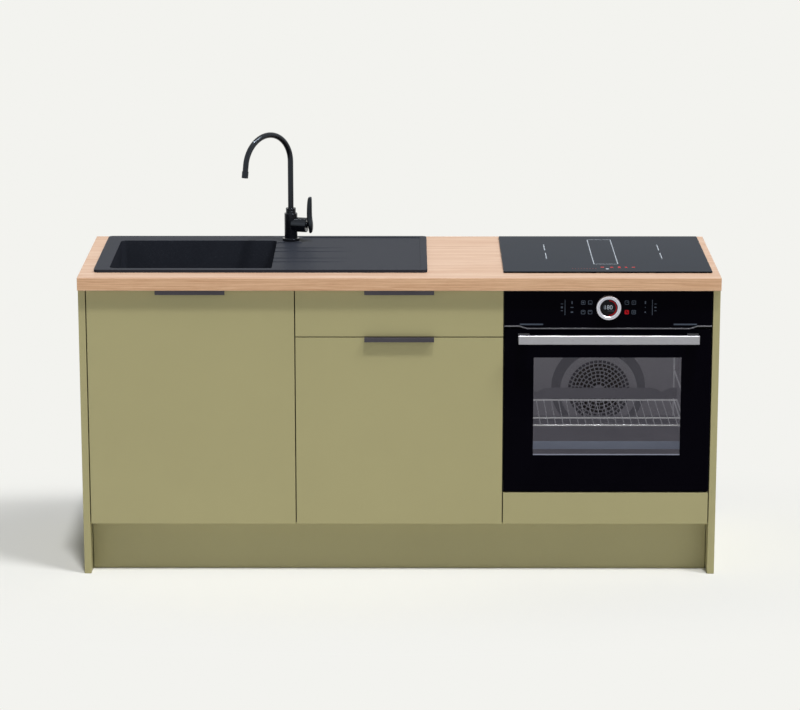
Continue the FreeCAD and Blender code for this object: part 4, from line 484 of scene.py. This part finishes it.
eased = {name: soften(name, radius) for name, radius in easing.items()}
edgeFinishes = {"worktop": ("oakEdge", 0.5), "hob_glass": ("panelGlass", 0.8)}
for name, (finishName, least) in edgeFinishes.items():  # faces less level than this take another finish
    mesh = eased[name].data
    mesh.materials.append(finish(finishName))
    for face in mesh.polygons:
        face.material_index = 1 if abs(face.normal.z) < least else 0
print("edges eased on", len(eased), "pieces")


def coloured(name, chosen, rule, flatten=True):  # a merged copy whose faces take one of several finishes
    piece = mergedCopy(name, "Faces", flatten)
    mesh = piece.data
    mesh.materials.clear()
    for finishName in chosen:
        mesh.materials.append(finish(finishName))
    for face in mesh.polygons:
        spots = [mesh.vertices[number].co.y for number in face.vertices]
        face.material_index = int(rule(face.center, face.normal, max(spots) - min(spots)))
    shadeByArea(piece)
    standFor(piece, name)


# Painted light: the oven's rear wall is lighter and glows more. Painted shade: the units' boards have a
# dark front edge
faceRule = {"casingFront": -0.235, "rearWall": 0.10, "trayLip": -0.198, "barDepth": 0.02,
            "boardFront": -0.24, "forward": -0.9}
coloured("oven_casing", ("galvanised", "frameBlack"),
         lambda at, facing, deep: at.y < faceRule["casingFront"])
coloured("oven_cavity", ("enamel", "enamelPaintedLight"),
         lambda at, facing, deep: facing.y < faceRule["forward"] and at.y > faceRule["rearWall"])
# The front of the tray's lip glows brighter: painted light
coloured("oven_tray", ("enamel", "trayEnamel"), lambda at, facing, deep: at.y < faceRule["trayLip"])
coloured("oven_wire_rack", ("wire", "wireThin"), lambda at, facing, deep: deep > faceRule["barDepth"])
# The boards' front edges take the dark finish: painted shade in the gaps
for name in ("unit_sides", "unit_rails", "unit_floors"):
    coloured(name, ("whiteBoard", "carcassEdgeShade"),
             lambda at, facing, deep: facing.y < faceRule["forward"] and at.y < faceRule["boardFront"])
for name in ("oven_side_racks", "oven_grill_element", "oven_fan", "tap_spout", "tap_valve_stem",
             "waste_trap", "leveling_legs", "tap_nut"):  # round pieces keep their fine facets
    worn = next(key for key, wearers in dressing.items() if name in wearers)
    coloured(name, (worn,), lambda *face: 0, False)
print("faces finished, round pieces smoothed")


# Flat printed marks: thin closed plates laid on a face
cornerShare, innerShare = 0.4, 0.3  # a corner by the mark's half width, an inner corner by its outer one


def roundedLoop(x, y, halfWidth, halfHeight, radius, steps=4):
    loop = []
    for corner, (signX, signY) in enumerate(((1, 1), (-1, 1), (-1, -1), (1, -1))):
        for step in range(steps + 1):
            angle = math.radians(90 * corner + 90 * step / steps)
            loop.append((x + signX * (halfWidth - radius) + radius * math.cos(angle),
                         y + signY * (halfHeight - radius) + radius * math.sin(angle)))
    return loop


def arcLoop(x, y, radius, start, end, steps=40):
    angles = [math.radians(start + (end - start) * step / steps) for step in range(steps + 1)]
    return [(x + radius * math.cos(angle), y + radius * math.sin(angle)) for angle in angles]


def filled(x, y, halfWidth, halfHeight, radius=None):
    corner = min(halfWidth, halfHeight) * cornerShare if radius is None else radius
    return roundedLoop(x, y, halfWidth, halfHeight, corner), None


def signsAt(x, y, table):  # filled marks at offsets from a middle
    return [filled(x + u, y + v, *size) for u, v, *size in table]


def outlined(x, y, halfWidth, halfHeight, radius, line):
    inner = roundedLoop(x, y, halfWidth - line, halfHeight - line, max(radius - line, radius * innerShare))
    return roundedLoop(x, y, halfWidth, halfHeight, radius), inner


def bridged(work, first, second):  # faces between two rings of equal count
    for i in range(len(first)):
        j = (i + 1) % len(first)
        work.faces.new((first[i], first[j], second[j], second[i]))


def meshFrom(work, name):
    bmesh.ops.recalc_face_normals(work, faces=work.faces)
    mesh = bpy.data.meshes.new(name)
    work.to_mesh(mesh)
    work.free()
    return mesh


def placePiece(name, mesh, finishName, body="cabinet"):
    mesh.name = name
    mesh.materials.clear()
    mesh.materials.append(finish(finishName))
    piece = linked(name, mesh)
    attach(piece, body)
    return piece


def markPiece(name, shapes, level, thick, finishName, body="cabinet", facing="front"):
    work = bmesh.new()

    def corners(loop, depth):
        if facing == "up":
            return [work.verts.new((u, v, level + depth)) for u, v in loop]
        return [work.verts.new((u, level - depth, v)) for u, v in loop]

    for outer, inner in shapes:
        low, high = corners(outer, 0.0), corners(outer, thick)
        if inner is None:
            work.faces.new(low)
            work.faces.new(high)
        else:
            lowInner, highInner = corners(inner, 0.0), corners(inner, thick)
            bridged(work, low, lowInner)
            bridged(work, high, highInner)
            bridged(work, lowInner, highInner)
        bridged(work, low, high)
    placePiece(name, meshFrom(work, name), finishName, body)


# Small parts that repeat: Geometry Nodes set one on every point of a carrier, turned to the point's facing
def vectorOf(tree, x, y, z):
    return added(tree, "ShaderNodeCombineXYZ", {0: x, 1: y, 2: z}).outputs[0]


def cone(tree, sides, top, bottom, height):
    return added(tree, "GeometryNodeMeshCone", {
        "Vertices": sides, "Radius Top": top, "Radius Bottom": bottom, "Depth": height}).outputs["Mesh"]


def block(tree, *size):
    return added(tree, "GeometryNodeMeshCube", {"Size": vectorOf(tree, *size)}).outputs["Mesh"]


def joined(tree, shapes):
    step = tree.nodes.new("GeometryNodeJoinGeometry")
    for shape in shapes:
        tree.links.new(shape, step.inputs["Geometry"])
    return step.outputs["Geometry"]


def onPoints(tree, given, shape, axis, finishLabel):
    facing = added(tree, "GeometryNodeInputNamedAttribute", {"Name": "facing"}, data_type="FLOAT_VECTOR")
    turn = added(tree, "FunctionNodeAlignRotationToVector", {"Vector": facing.outputs["Attribute"]},
                 axis=axis).outputs["Rotation"]
    place = added(tree, "GeometryNodeInstanceOnPoints", {"Points": given["Carrier"], "Instance": shape,
                                                         "Rotation": turn})
    real = added(tree, "GeometryNodeRealizeInstances", {"Geometry": place.outputs["Instances"]})
    return added(tree, "GeometryNodeSetMaterial", {
        "Geometry": real.outputs["Geometry"], "Material": given[finishLabel]}).outputs["Geometry"]


def repeatTree(name, sizes, axis, rule):
    inputs = {"Carrier": "Geometry", **{label: "Float" for label in sizes}, "Finish": "Material",
              "Second Finish": "Material"}
    tree, given, taken = newTree(name, "GeometryNodeTree", inputs, {"Pieces": "Geometry"})
    given = given.outputs
    pieces = [onPoints(tree, given, shape, axis, label) for label, shape in rule(tree, given).items()]
    tree.links.new(joined(tree, pieces) if len(pieces) > 1 else pieces[0], taken.inputs["Pieces"])
    return tree


screwForm = {"rim": 0.8, "recessShade": (1.1, 0.24), "recessShadeDepth": 0.0001,  # shares of the radius, and metres
             "sides": 20, "holeSides": 16}


def screwRule(tree, given):  # a round head along its facing, with a chamfered rim and a thin dark cross on top, painted shade for a cross recess
    radius, height = given["Radius"], given["Height"]
    rim = combined(tree, "MULTIPLY", radius, screwForm["rim"])
    sizes = [combined(tree, "MULTIPLY", radius, share) for share in screwForm["recessShade"]]
    bars = joined(tree, [block(tree, *sides, screwForm["recessShadeDepth"]) for sides in (sizes, sizes[::-1])])
    recessShade = added(tree, "GeometryNodeTransform", {
        "Geometry": bars, "Translation": vectorOf(tree, 0.0, 0.0, height)}).outputs["Geometry"]
    return {"Finish": cone(tree, screwForm["sides"], rim, radius, height), "Second Finish": recessShade}


def holeRule(tree, given):  # a short round plug, as a drilled hole shows in a board
    return {"Finish": cone(tree, screwForm["holeSides"], given["Radius"], given["Radius"], given["Height"])}


def barRule(tree, given):  # a bar whose length lies along its facing
    return {"Finish": block(tree, given["Length"], given["Width"], given["Height"])}


repeatTrees = {
    "screw": repeatTree("screwHeads", ("Radius", "Height"), "Z", screwRule),
    "hole": repeatTree("drilledHoles", ("Radius", "Height"), "Z", holeRule),
    "bar": repeatTree("bars", ("Length", "Width", "Height"), "X", barRule),
}


def repeated(name, kind, spots, sizes, finishNames, body="cabinet"):
    tree = repeatTrees[kind]  # spots are (point, facing) pairs, sizes in the order of the tree's inputs
    mesh = bpy.data.meshes.new(name)
    mesh.from_pydata([point for point, facing in spots], [], [])
    facings = mesh.attributes.new("facing", "FLOAT_VECTOR", "POINT")
    facings.data.foreach_set("vector", [value for point, facing in spots for value in facing])
    carrier = linked(name, mesh)
    modifier = carrier.modifiers.new(name, "NODES")
    modifier.node_group = tree
    given = iter(sizes)
    for socket in tree.interface.items_tree:
        if socket.in_out != "INPUT" or socket.name == "Carrier":
            continue
        if socket.socket_type == "NodeSocketMaterial":
            modifier[socket.identifier] = finish(finishNames[0 if socket.name == "Finish" else -1])
        else:
            modifier[socket.identifier] = next(given)
    plain(carrier)
    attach(carrier, body)


def around(middle, radius, count, axis, phase=0.0):  # points on a circle, with their facing outwards
    spots = []
    for step in range(count):
        angle = 2 * math.pi * (step + phase) / count
        u, v = math.cos(angle), math.sin(angle)
        facing = (u, v, 0.0) if axis == "Z" else (u, 0.0, v)
        spots.append((tuple(at + radius * way for at, way in zip(middle, facing)), facing))
    return spots


def band(inner, outer, low, high):  # the section of a plain ring
    return [(inner, low), (outer, low), (outer, high), (inner, high)]


def spun(name, sections, middle, axis, finishName, steps=64):  # closed rings about an axis
    work = bmesh.new()
    for section in sections:
        rings = []
        for step in range(steps):
            angle = 2 * math.pi * step / steps
            ring = []
            for radius, along in section:
                u, v = radius * math.cos(angle), radius * math.sin(angle)
                ring.append(work.verts.new({"Y": (u, along, v), "Z": (u, v, along)}[axis]))
            rings.append(ring)
        for step in range(steps):
            bridged(work, rings[step], rings[(step + 1) % steps])
    bmesh.ops.remove_doubles(work, verts=work.verts, dist=mergeRule["same"])
    bmesh.ops.dissolve_degenerate(work, edges=work.edges, dist=mergeRule["same"])
    bmesh.ops.translate(work, verts=work.verts, vec=middle)
    piece = placePiece(name, meshFrom(work, name), finishName)
    shadeByAngle(piece)
    return piece


# Tap lever: a rounded bar on a ball-like root, slotted for the stem's tongue; metres from the valve's axis
leverForm = {"axis": (-0.326, 0.2115, 0.946), "yaw": math.radians(-15.0), "steps": 24, "squareness": 2.3,
             "smoothing": 2, "pin": 0.0605, "pinRadius": 0.0015, "pinHalf": 0.0042, "pinSteps": 16,
             "slot": (0.050, 0.0656, 0.00275, 0.008)}  # start, end, half width, half height
leverSections = (  # level, inner face, outer face, half width
    (-0.0245, 0.0598, 0.0628, 0.0030), (-0.0232, 0.0584, 0.0646, 0.0064), (-0.0195, 0.0572, 0.0668, 0.0094),
    (-0.0150, 0.0562, 0.0679, 0.0110), (-0.0115, 0.0573, 0.0683, 0.0115), (-0.0080, 0.0564, 0.0686, 0.0119),
    (-0.0030, 0.0550, 0.0688, 0.0121), (0.0010, 0.0537, 0.0688, 0.0121), (0.0060, 0.0534, 0.0686, 0.0118),
    (0.0095, 0.0533, 0.0682, 0.0114), (0.0120, 0.0520, 0.0678, 0.0111), (0.0170, 0.0509, 0.0671, 0.0104),
    (0.0250, 0.0503, 0.0663, 0.0096), (0.0380, 0.0501, 0.0659, 0.0090), (0.0520, 0.0505, 0.0658, 0.0085),
    (0.0660, 0.0513, 0.0658, 0.0078), (0.0770, 0.0525, 0.0657, 0.0068), (0.0835, 0.0543, 0.0654, 0.0054),
    (0.0868, 0.0578, 0.0645, 0.0032),
)


def leverPoint(along, across, level):
    x, y, z = leverForm["axis"]
    turn = leverForm["yaw"]
    return (x + along * math.cos(turn) - across * math.sin(turn),
            y + along * math.sin(turn) + across * math.cos(turn), z + level)


def ringed(work, rings):  # a closed skin over rings of equal count
    made = [[work.verts.new(leverPoint(*point)) for point in ring] for ring in rings]
    for low, high in zip(made, made[1:]):
        bridged(work, low, high)
    work.faces.new(made[0][::-1])
    work.faces.new(made[-1])


def makeLever():
    steps, power = leverForm["steps"], 2 / leverForm["squareness"]
    rings = []
    for level, inner, outer, halfWidth in leverSections:
        ring = []
        for step in range(steps):
            angle = 2 * math.pi * step / steps
            u, v = math.cos(angle), math.sin(angle)
            ring.append(((inner + outer) / 2 + (outer - inner) / 2 * math.copysign(abs(u) ** power, u),
                         halfWidth * math.copysign(abs(v) ** power, v), level))
        rings.append(ring)
    body = bmesh.new()
    ringed(body, rings)
    piece = linked("tap_leverFull", meshFrom(body, "tap_leverFull"))
    smooth = piece.modifiers.new("smooth", "SUBSURF")
    smooth.levels = smooth.render_levels = leverForm["smoothing"]
    start, end, halfWide, halfTall = leverForm["slot"]
    box = bmesh.new()
    ringed(box, [[(along, -halfWide, level), (along, halfWide, level), (along, halfWide, -level),
                  (along, -halfWide, -level)] for along, level in ((start, halfTall), (end, halfTall))])
    cutter = linked("leverSlot", meshFrom(box, "leverSlot"))
    slot = piece.modifiers.new("slot", "BOOLEAN")
    slot.operation, slot.solver, slot.object = "DIFFERENCE", "EXACT", cutter
    plain(piece)
    bpy.data.objects.remove(cutter)
    work = bmesh.new()
    work.from_mesh(piece.data)
    pin = around((leverForm["pin"], 0.0, 0.0), leverForm["pinRadius"], leverForm["pinSteps"], "Y")
    ringed(work, [[(along, across, level) for (along, middle, level), facing in pin]
                  for across in (-leverForm["pinHalf"], leverForm["pinHalf"])])
    piece.data = meshFrom(work, "tap_leverFull")
    piece.data.materials.append(finish("tapBlack"))
    shadeByAngle(piece)
    standFor(piece, "tap_lever")


makeLever()
print("tap lever shaped")

# Hob prints: the zone's outline, dashes beside it and a touch row
hobPrint = {
    "x": 0.600, "top": 0.89282, "thick": 0.00006, "line": 0.0026,
    "zone": (0.0625, 0.036, 0.179, 0.003),  # middle, half width, half depth, corner
    "power": (-0.1825, 0.0045, 0.0075, 0.0044),
    "dashReach": 0.169, "dashHalf": 0.0016, "dashCorner": 0.0008,
    "dashes": ((0.1025, 0.003), (0.076, 0.018), (0.036, 0.017), (-0.036, 0.017), (-0.076, 0.018),
               (-0.1025, 0.003)),  # offset from the zone's middle, half length
    "touchRow": -0.1595,
    "touch": ((-0.013, 0.0, 0.0048, 0.0055), (0.014, 0.0, 0.0048, 0.0055), (0.036, 0.0, 0.0042, 0.0095),
              (0.0555, 0.0, 0.0032, 0.007), (0.077, 0.0, 0.0048, 0.005)),  # offset, half width and depth
    "sliderRow": -0.178, "slider": (0.500, 0.567, 9), "dot": (0.0013, 0.0035),
}


def makeHobPrint():
    x, (y, half, reach, corner) = hobPrint["x"], hobPrint["zone"]
    pale = [outlined(x, y, half, reach, corner, hobPrint["line"]), filled(x, *hobPrint["power"])]
    for side in (-1, 1):
        for offset, length in hobPrint["dashes"]:
            pale.append(filled(x + side * hobPrint["dashReach"], y + offset, hobPrint["dashHalf"], length,
                               hobPrint["dashCorner"]))
    red = signsAt(x, hobPrint["touchRow"], hobPrint["touch"])
    first, last, count = hobPrint["slider"]
    dim = [filled(first + (last - first) * step / (count - 1), hobPrint["sliderRow"], *hobPrint["dot"])
           for step in range(count)]
    for name, shapes, finishName in (("hobPrintPale", pale, "printPale"), ("hobPrintRed", red, "printRed"),
                                     ("hobPrintDim", dim, "printDim")):
        markPiece(name, shapes, hobPrint["top"], hobPrint["thick"], finishName, facing="up")


makeHobPrint()
print("hob prints laid")

# Control panel prints: icons, signs and bars round the dial, as offsets from its middle
panelPrint = {
    "x": 0.600, "z": 0.798, "face": -0.26652, "thick": 0.00008,
    "icon": (0.0062, 0.0026, 0.0016),  # half size, corner, line
    "icons": ((-0.073, 0.014), (-0.073, -0.014), (-0.053, 0.014), (-0.053, -0.014), (0.052, 0.014),
              (0.072, 0.014), (0.072, -0.014)),
    "signs": (  # offset, half width and half height, and the corner where it isn't the usual one
        (-0.073, 0.014, 0.0026, 0.0026), (-0.053, 0.0118, 0.0034, 0.0008),
        (-0.073, -0.0124, 0.0022, 0.0012), (-0.053, -0.0114, 0.0028, 0.0008),
        (0.0532, 0.0152, 0.0024, 0.0009), (0.072, 0.014, 0.0009, 0.0028),
        (0.072, -0.0124, 0.0030, 0.0008), (0.072, -0.0156, 0.0030, 0.0008),
        (-0.125, 0.0, 0.0008, 0.0225, 0.0004), (0.125, 0.0, 0.0008, 0.0225, 0.0004),
        (-0.105, 0.014, 0.0018, 0.0042), (0.105, 0.014, 0.0018, 0.0042), (-0.105, 0.0, 0.0042, 0.0013),
        (0.105, 0.0, 0.0010, 0.0013), (-0.105, -0.014, 0.0034, 0.0020), (0.105, -0.014, 0.0018, 0.0020),
        (-0.134, 0.010, 0.0034, 0.0009), (0.134, 0.010, 0.0034, 0.0009), (-0.134, 0.0, 0.0030, 0.0030),
        (0.134, 0.0, 0.0030, 0.0018), (-0.134, -0.010, 0.0030, 0.0009), (0.134, -0.010, 0.0030, 0.0009)),
    "redSigns": ((0.052, -0.014, 0.0062, 0.0062, 0.0022),),
    "darkSigns": ((0.0505, -0.0125, 0.0010, 0.0028), (0.0535, -0.0155, 0.0010, 0.0022)),
    "feet": ((0.346, 0.413), (0.787, 0.854)), "foot": (0.748, 0.0022, 0.0006),  # level, half height, corner
}


def makePanelPrint():
    x, z, level, thick = (panelPrint[label] for label in ("x", "z", "face", "thick"))
    half, corner, line = panelPrint["icon"]
    grey = [outlined(x + u, z + v, half, half, corner, line) for u, v in panelPrint["icons"]]
    grey += signsAt(x, z, panelPrint["signs"])
    row, footHalf, corner = panelPrint["foot"]
    for low, high in panelPrint["feet"]:  # grey marks at the panel's lower edge, above the handle's posts: a painted reflection of the posts
        grey.append(filled((low + high) / 2, row, (high - low) / 2, footHalf, corner))
    markPiece("panelPrintGrey", grey, level, thick, "printGrey")
    markPiece("panelPrintRed", signsAt(x, z, panelPrint["redSigns"]), level, thick, "printRed")
    markPiece("panelPrintDark", signsAt(x, z, panelPrint["darkSigns"]), level - thick, thick, "panelGlass")


makePanelPrint()

# Oven door: black border printed on the glass round the window, and under it a glowing lip, a painted
# highlight
doorPrint = {"x": 0.600, "half": 0.2965, "low": 0.250, "high": 0.7335, "windowHalf": 0.213,
             "windowLow": 0.358, "windowHigh": 0.650, "corner": 0.0006, "face": -0.26645, "thick": 0.00009,
             "lipHeight": 0.0022, "lipFront": -0.2622, "lipDepth": 0.005, "lipCorner": 0.0005}


def makeDoorPrint():
    x, low, high, corner = (doorPrint[label] for label in ("x", "low", "high", "corner"))
    half, windowLow, windowHigh = (doorPrint[label] for label in ("windowHalf", "windowLow", "windowHigh"))
    border = (roundedLoop(x, (low + high) / 2, doorPrint["half"], (high - low) / 2, corner),
              roundedLoop(x, (windowLow + windowHigh) / 2, half, (windowHigh - windowLow) / 2, corner))
    markPiece("doorBorder", [border], doorPrint["face"], doorPrint["thick"], "panelGlass",
              "oven_door")
    height, depth, corner = doorPrint["lipHeight"], doorPrint["lipDepth"], doorPrint["lipCorner"]
    lip = [filled(x, windowLow + height / 2, half - corner, height / 2, corner)]
    markPiece("windowLipHighlight", lip, doorPrint["lipFront"] + depth, depth, "windowLipHighlight",
              "oven_door")


makeDoorPrint()

# Round display inside the dial: a red arc, a temperature and two bars
displayPrint = {"face": -0.27552, "thick": 0.00008, "arcRadius": 0.0228, "arcWidth": 0.0022, "arcEnd": 88,
                "digits": "180", "digitSize": 0.0175, "digitPlace": (-0.002, 0.0015),
                "bars": ((0.006, -0.0085, 0.0095, 0.0008), (-0.0145, 0.0015, 0.0008, 0.0045))}
dialLine = {"radii": (0.0306, 0.029), "face": -0.27882, "thick": 0.00006, "steps": 16}


def makeDisplayPrint():
    x, z, level, thick = panelPrint["x"], panelPrint["z"], displayPrint["face"], displayPrint["thick"]
    radius, end = displayPrint["arcRadius"], displayPrint["arcEnd"]
    outer = arcLoop(x, z, radius, end, -end)
    inner = arcLoop(x, z, radius - displayPrint["arcWidth"], end, -end)
    markPiece("displayArc", [(outer + inner[::-1], None)], level, thick, "printRed")
    curve = bpy.data.curves.new("displayDigits", "FONT")
    curve.body = displayPrint["digits"]
    curve.align_x = curve.align_y = "CENTER"
    curve.size = displayPrint["digitSize"]
    curve.extrude = thick / 2
    typed = linked("displayDigits", curve)
    mesh = bpy.data.meshes.new_from_object(typed.evaluated_get(bpy.context.evaluated_depsgraph_get()))
    bpy.data.objects.remove(typed)
    right, up = displayPrint["digitPlace"]
    upright = Matrix.Translation((x + right, level - thick / 2, z + up))
    mesh.transform(upright @ Matrix.Rotation(math.radians(90), 4, "X"))
    placePiece("displayDigits", mesh, "printPale")
    markPiece("displayBars", signsAt(x, z, displayPrint["bars"]), level, thick, "printGrey")
    loops = [roundedLoop(x, z, radius, radius, radius, dialLine["steps"]) for radius in dialLine["radii"]]
    markPiece("dialLine", [tuple(loops)], dialLine["face"], dialLine["thick"], "printPale",
              "oven_dial")


makeDisplayPrint()
print("control panel printed")

# Fan cover of the oven: a pressed guard with rings of small slots
# The guard's shade ring is a painted shadow: a dark ring on the rear wall behind the fan
fanGuard = {"x": 0.600, "z": 0.453924, "front": 0.1245, "wall": 0.002, "rim": 0.1419, "plate": 0.1159,
            "depth": 0.030, "firstSlot": 0.017, "lastSlot": 0.096, "rings": 7, "web": 0.003,
            "slotLength": 0.013, "bridgeOverlap": 0.0008, "bridgeShare": 0.9,
            "shade": (0.012, 0.112), "shadeDepth": (0.0009, 0.0001)}  # radii, and depths before the rear


def makeFanGuard():
    front, wall, rim, plate = (fanGuard[label] for label in ("front", "wall", "rim", "plate"))
    first, last, rings, web = (fanGuard[label] for label in ("firstSlot", "lastSlot", "rings", "web"))
    rear, back = front + fanGuard["depth"], front + wall
    pitch = (last - first) / rings
    middle = (fanGuard["x"], 0.0, fanGuard["z"])
    webs = [band(0.0, first, front, back)]
    spots = []
    for number in range(rings):
        outer = first + pitch * (number + 1)
        if number < rings - 1:
            webs.append(band(outer - web, outer, front, back))
        slotMiddle = outer - (pitch + web) / 2
        count = round(2 * math.pi * slotMiddle / fanGuard["slotLength"])
        spots += around((fanGuard["x"], front + wall / 2, fanGuard["z"]), slotMiddle, count, "Y",
                        0.5 * (number % 2))
    webs.append(band(last - web, plate, front, back))
    # The guard's plate and its bridges take the lighter enamel: painted light
    face = spun("fanGuardFace", webs, middle, "Y", "enamelPaintedLight")
    slant = [(plate, front), (rim, rear), (rim - wall, rear), (plate - wall, back)]
    # The slanted rim takes the darker enamel: painted shade
    spun("fanGuardSlant", [slant], middle, "Y", "enamelPaintedShade")
    # A dark ring just before the rear wall: painted shadow behind the fan
    near, far = fanGuard["shadeDepth"]
    spun("fanGuardPaintedShadow", [band(*fanGuard["shade"], rear - near, rear - far)], middle, "Y", "enamelPaintedShadow")
    size = (pitch - web + fanGuard["bridgeOverlap"], wall * fanGuard["bridgeShare"], web)
    repeated("fanGuardBridges", "bar", spots, size, ["enamelPaintedLight"])
    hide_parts("oven_fan_cover")


makeFanGuard()
print("fan guard slotted")

# Raised rear edge of the wire rack
rackGuard = {"left": 0.366, "right": 0.834, "y": 0.0925, "low": 0.4365, "high": 0.470, "thick": 0.0012,
             "scoop": 0.012, "scoopAt": (0.1, 0.9), "scoopHalf": 0.03, "steps": 120}


def makeRackGuard():
    left, right, low = rackGuard["left"], rackGuard["right"], rackGuard["low"]
    outline = [(left, low), (right, low)]
    for step in range(rackGuard["steps"] + 1):
        share = step / rackGuard["steps"]
        dip = max(math.exp(-((share - at) / rackGuard["scoopHalf"]) ** 2) for at in rackGuard["scoopAt"])
        outline.append((right - (right - left) * share, rackGuard["high"] - rackGuard["scoop"] * dip))
    markPiece("rackGuard", [(outline, None)], rackGuard["y"], rackGuard["thick"], "enamel")


makeRackGuard()

# Boards: rows of drilled shelf-pin holes inside the sink and drawer units
pinHoles = {"pitch": 0.032, "low": 0.200, "rows": (-0.2085, 0.2325), "size": (0.0025, 0.00015), "units": (
    # faces of the boards, holes in a row, levels kept free and the room kept there
    (((-0.882, 1.0), (-0.318, -1.0)), 17, (0.2765, 0.722), 0.022),
    (((-0.282, 1.0), (0.282, -1.0)), 16, (0.219, 0.779), 0.028),
)}


def makePinHoles():
    spots = []
    for faces, count, levels, room in pinHoles["units"]:
        for x, facing in faces:
            for y in pinHoles["rows"]:
                for step in range(count):
                    z = pinHoles["low"] + pinHoles["pitch"] * step
                    if min(abs(z - level) for level in levels) > room:
                        spots.append(((x, y, z), (facing, 0.0, 0.0)))
    repeated("shelfPinHoles", "hole", spots, pinHoles["size"], ["drilledCoreAndShade"])


makePinHoles()

# Screws of hinge arms, runner rails, back panels and the oven's casing: places, radius and height
screws = {
    "hinge": ([((-0.880, y, z), (1.0, 0.0, 0.0)) for y in (-0.195, -0.172) for z in (0.2765, 0.722)],
              0.0036, 0.0012),
    "rail": ([((side * 0.2758, y, z), (-side, 0.0, 0.0)) for side in (-1.0, 1.0)
              for y in (-0.215, 0.02, 0.225) for z in (0.219, 0.779)], 0.0032, 0.00018),
    "back": ([((x, 0.2745, 0.190 + 0.090 * step), (0.0, 1.0, 0.0))
              for x in (-0.872, -0.328, -0.272, 0.0, 0.272) for step in range(7)], 0.0034, 0.0009),
    "casing": ([((x, 0.2695, z), (0.0, 1.0, 0.0)) for x in (0.330, 0.600, 0.870)
                for z in (0.264, 0.402, 0.540, 0.678, 0.822)], 0.0038, 0.0016),
}
for label, (spots, *size) in screws.items():
    repeated(label + "Screws", "screw", spots, size, ["steel", "blackPlastic"])
print("pin holes and screws set")

# Oven casing from behind: air slots, drawn as black bars, painted shade for the openings, and the closed
# gland of the mains inlet
casingBack = {
    "y": 0.2695, "slot": (0.042, 0.0008, 0.005),  # length, twice what stands out, height
    "xs": [0.420 + 0.060 * column for column in range(7)], "zs": [0.655 + 0.013 * row for row in range(6)],
    "gland": (0.815, 0.310),
    "section": [(0.0, 0.0), (0.014, 0.0), (0.014, 0.003), (0.0105, 0.003), (0.0105, 0.012), (0.009, 0.014),
                (0.0, 0.014)],  # radius, and distance from the casing
    "steps": 32, "ribs": 12, "ribReach": (0.0105, 0.0075), "rib": (0.0016, 0.008, 0.0016),
}


def makeCasingBack():
    y, (x, z) = casingBack["y"], casingBack["gland"]
    spots = [((across, y, level), (1.0, 0.0, 0.0))
             for across in casingBack["xs"] for level in casingBack["zs"]]
    repeated("casingSlots", "bar", spots, casingBack["slot"], ["blackPlastic"])
    spun("mainsInletGland", [casingBack["section"]], (x, y, z), "Y", "blackPlastic",
         casingBack["steps"])
    radius, out = casingBack["ribReach"]
    repeated("mainsInletRibs", "bar", around((x, y + out, z), radius, casingBack["ribs"], "Y"),
             casingBack["rib"], ["blackPlastic"])


makeCasingBack()

# Legs: ribs up the tube and an adjusting ring above the foot
legRibs = {"xs": (-0.840, -0.360, -0.240, 0.240, 0.360, 0.840), "ys": (-0.1505, 0.1995),
           "radius": 0.015, "ribs": 12, "ribMiddle": 0.084, "rib": (0.003, 0.0018, 0.108),
           "section": band(0.0145, 0.0185, 0.0125, 0.0245), "ring": 0.0185, "grips": 24,
           "gripMiddle": 0.0185, "grip": (0.0012, 0.0014, 0.011), "steps": 32}


def makeLegRibs():
    tall, grips = [], []
    for x in legRibs["xs"]:
        for y in legRibs["ys"]:
            name = f"legRing_{round(x * 1000)}_{round(y * 1000)}"
            spun(name, [legRibs["section"]], (x, y, 0.0), "Z", "blackPlastic",
                 legRibs["steps"])
            tall += around((x, y, legRibs["ribMiddle"]), legRibs["radius"], legRibs["ribs"], "Z")
            grips += around((x, y, legRibs["gripMiddle"]), legRibs["ring"], legRibs["grips"], "Z")
    repeated("legRibs", "bar", tall, legRibs["rib"], ["blackPlastic"])
    repeated("legRingGrips", "bar", grips, legRibs["grip"], ["blackPlastic"])


makeLegRibs()

# Bottle trap: union nuts with grip ribs
trapNuts = {
    "nuts": (  # axis, middle of the nut's near end, inner and outer radius, length
        ("Z", (-0.602, 0.0075, 0.6215), 0.0195, 0.0275, 0.018),
        ("Z", (-0.602, 0.0075, 0.4530), 0.0330, 0.0365, 0.024),
        ("Y", (-0.602, 0.0440, 0.5735), 0.0185, 0.0265, 0.017)),
    "chamfer": 0.002, "grips": 18, "gripMiddle": 0.45, "gripLength": 0.8,  # shares of the nut's length
    "gripDepth": 0.0018, "gripWidth": 0.002, "steps": 36,
}


def makeTrapNuts():
    bevel, wide, deep = trapNuts["chamfer"], trapNuts["gripWidth"], trapNuts["gripDepth"]
    for number, (axis, (x, y, z), inner, outer, length) in enumerate(trapNuts["nuts"]):
        section = [(inner, 0.0), (outer, 0.0), (outer, length - bevel), (outer - bevel, length),
                   (inner, length)]
        spun(f"trapNut{number}", [section], (x, y, z), axis, "whitePlastic",
             trapNuts["steps"])
        rise, long = length * trapNuts["gripMiddle"], length * trapNuts["gripLength"]
        middle, size = ((x, y, z + rise), (deep, wide, long)) if axis == "Z" else (
            (x, y + rise, z), (deep, long, wide))
        repeated(f"trapNutGrips{number}", "bar", around(middle, outer, trapNuts["grips"], axis), size,
                 ["whitePlastic"])


makeTrapNuts()
print("casing, legs and trap detailed")
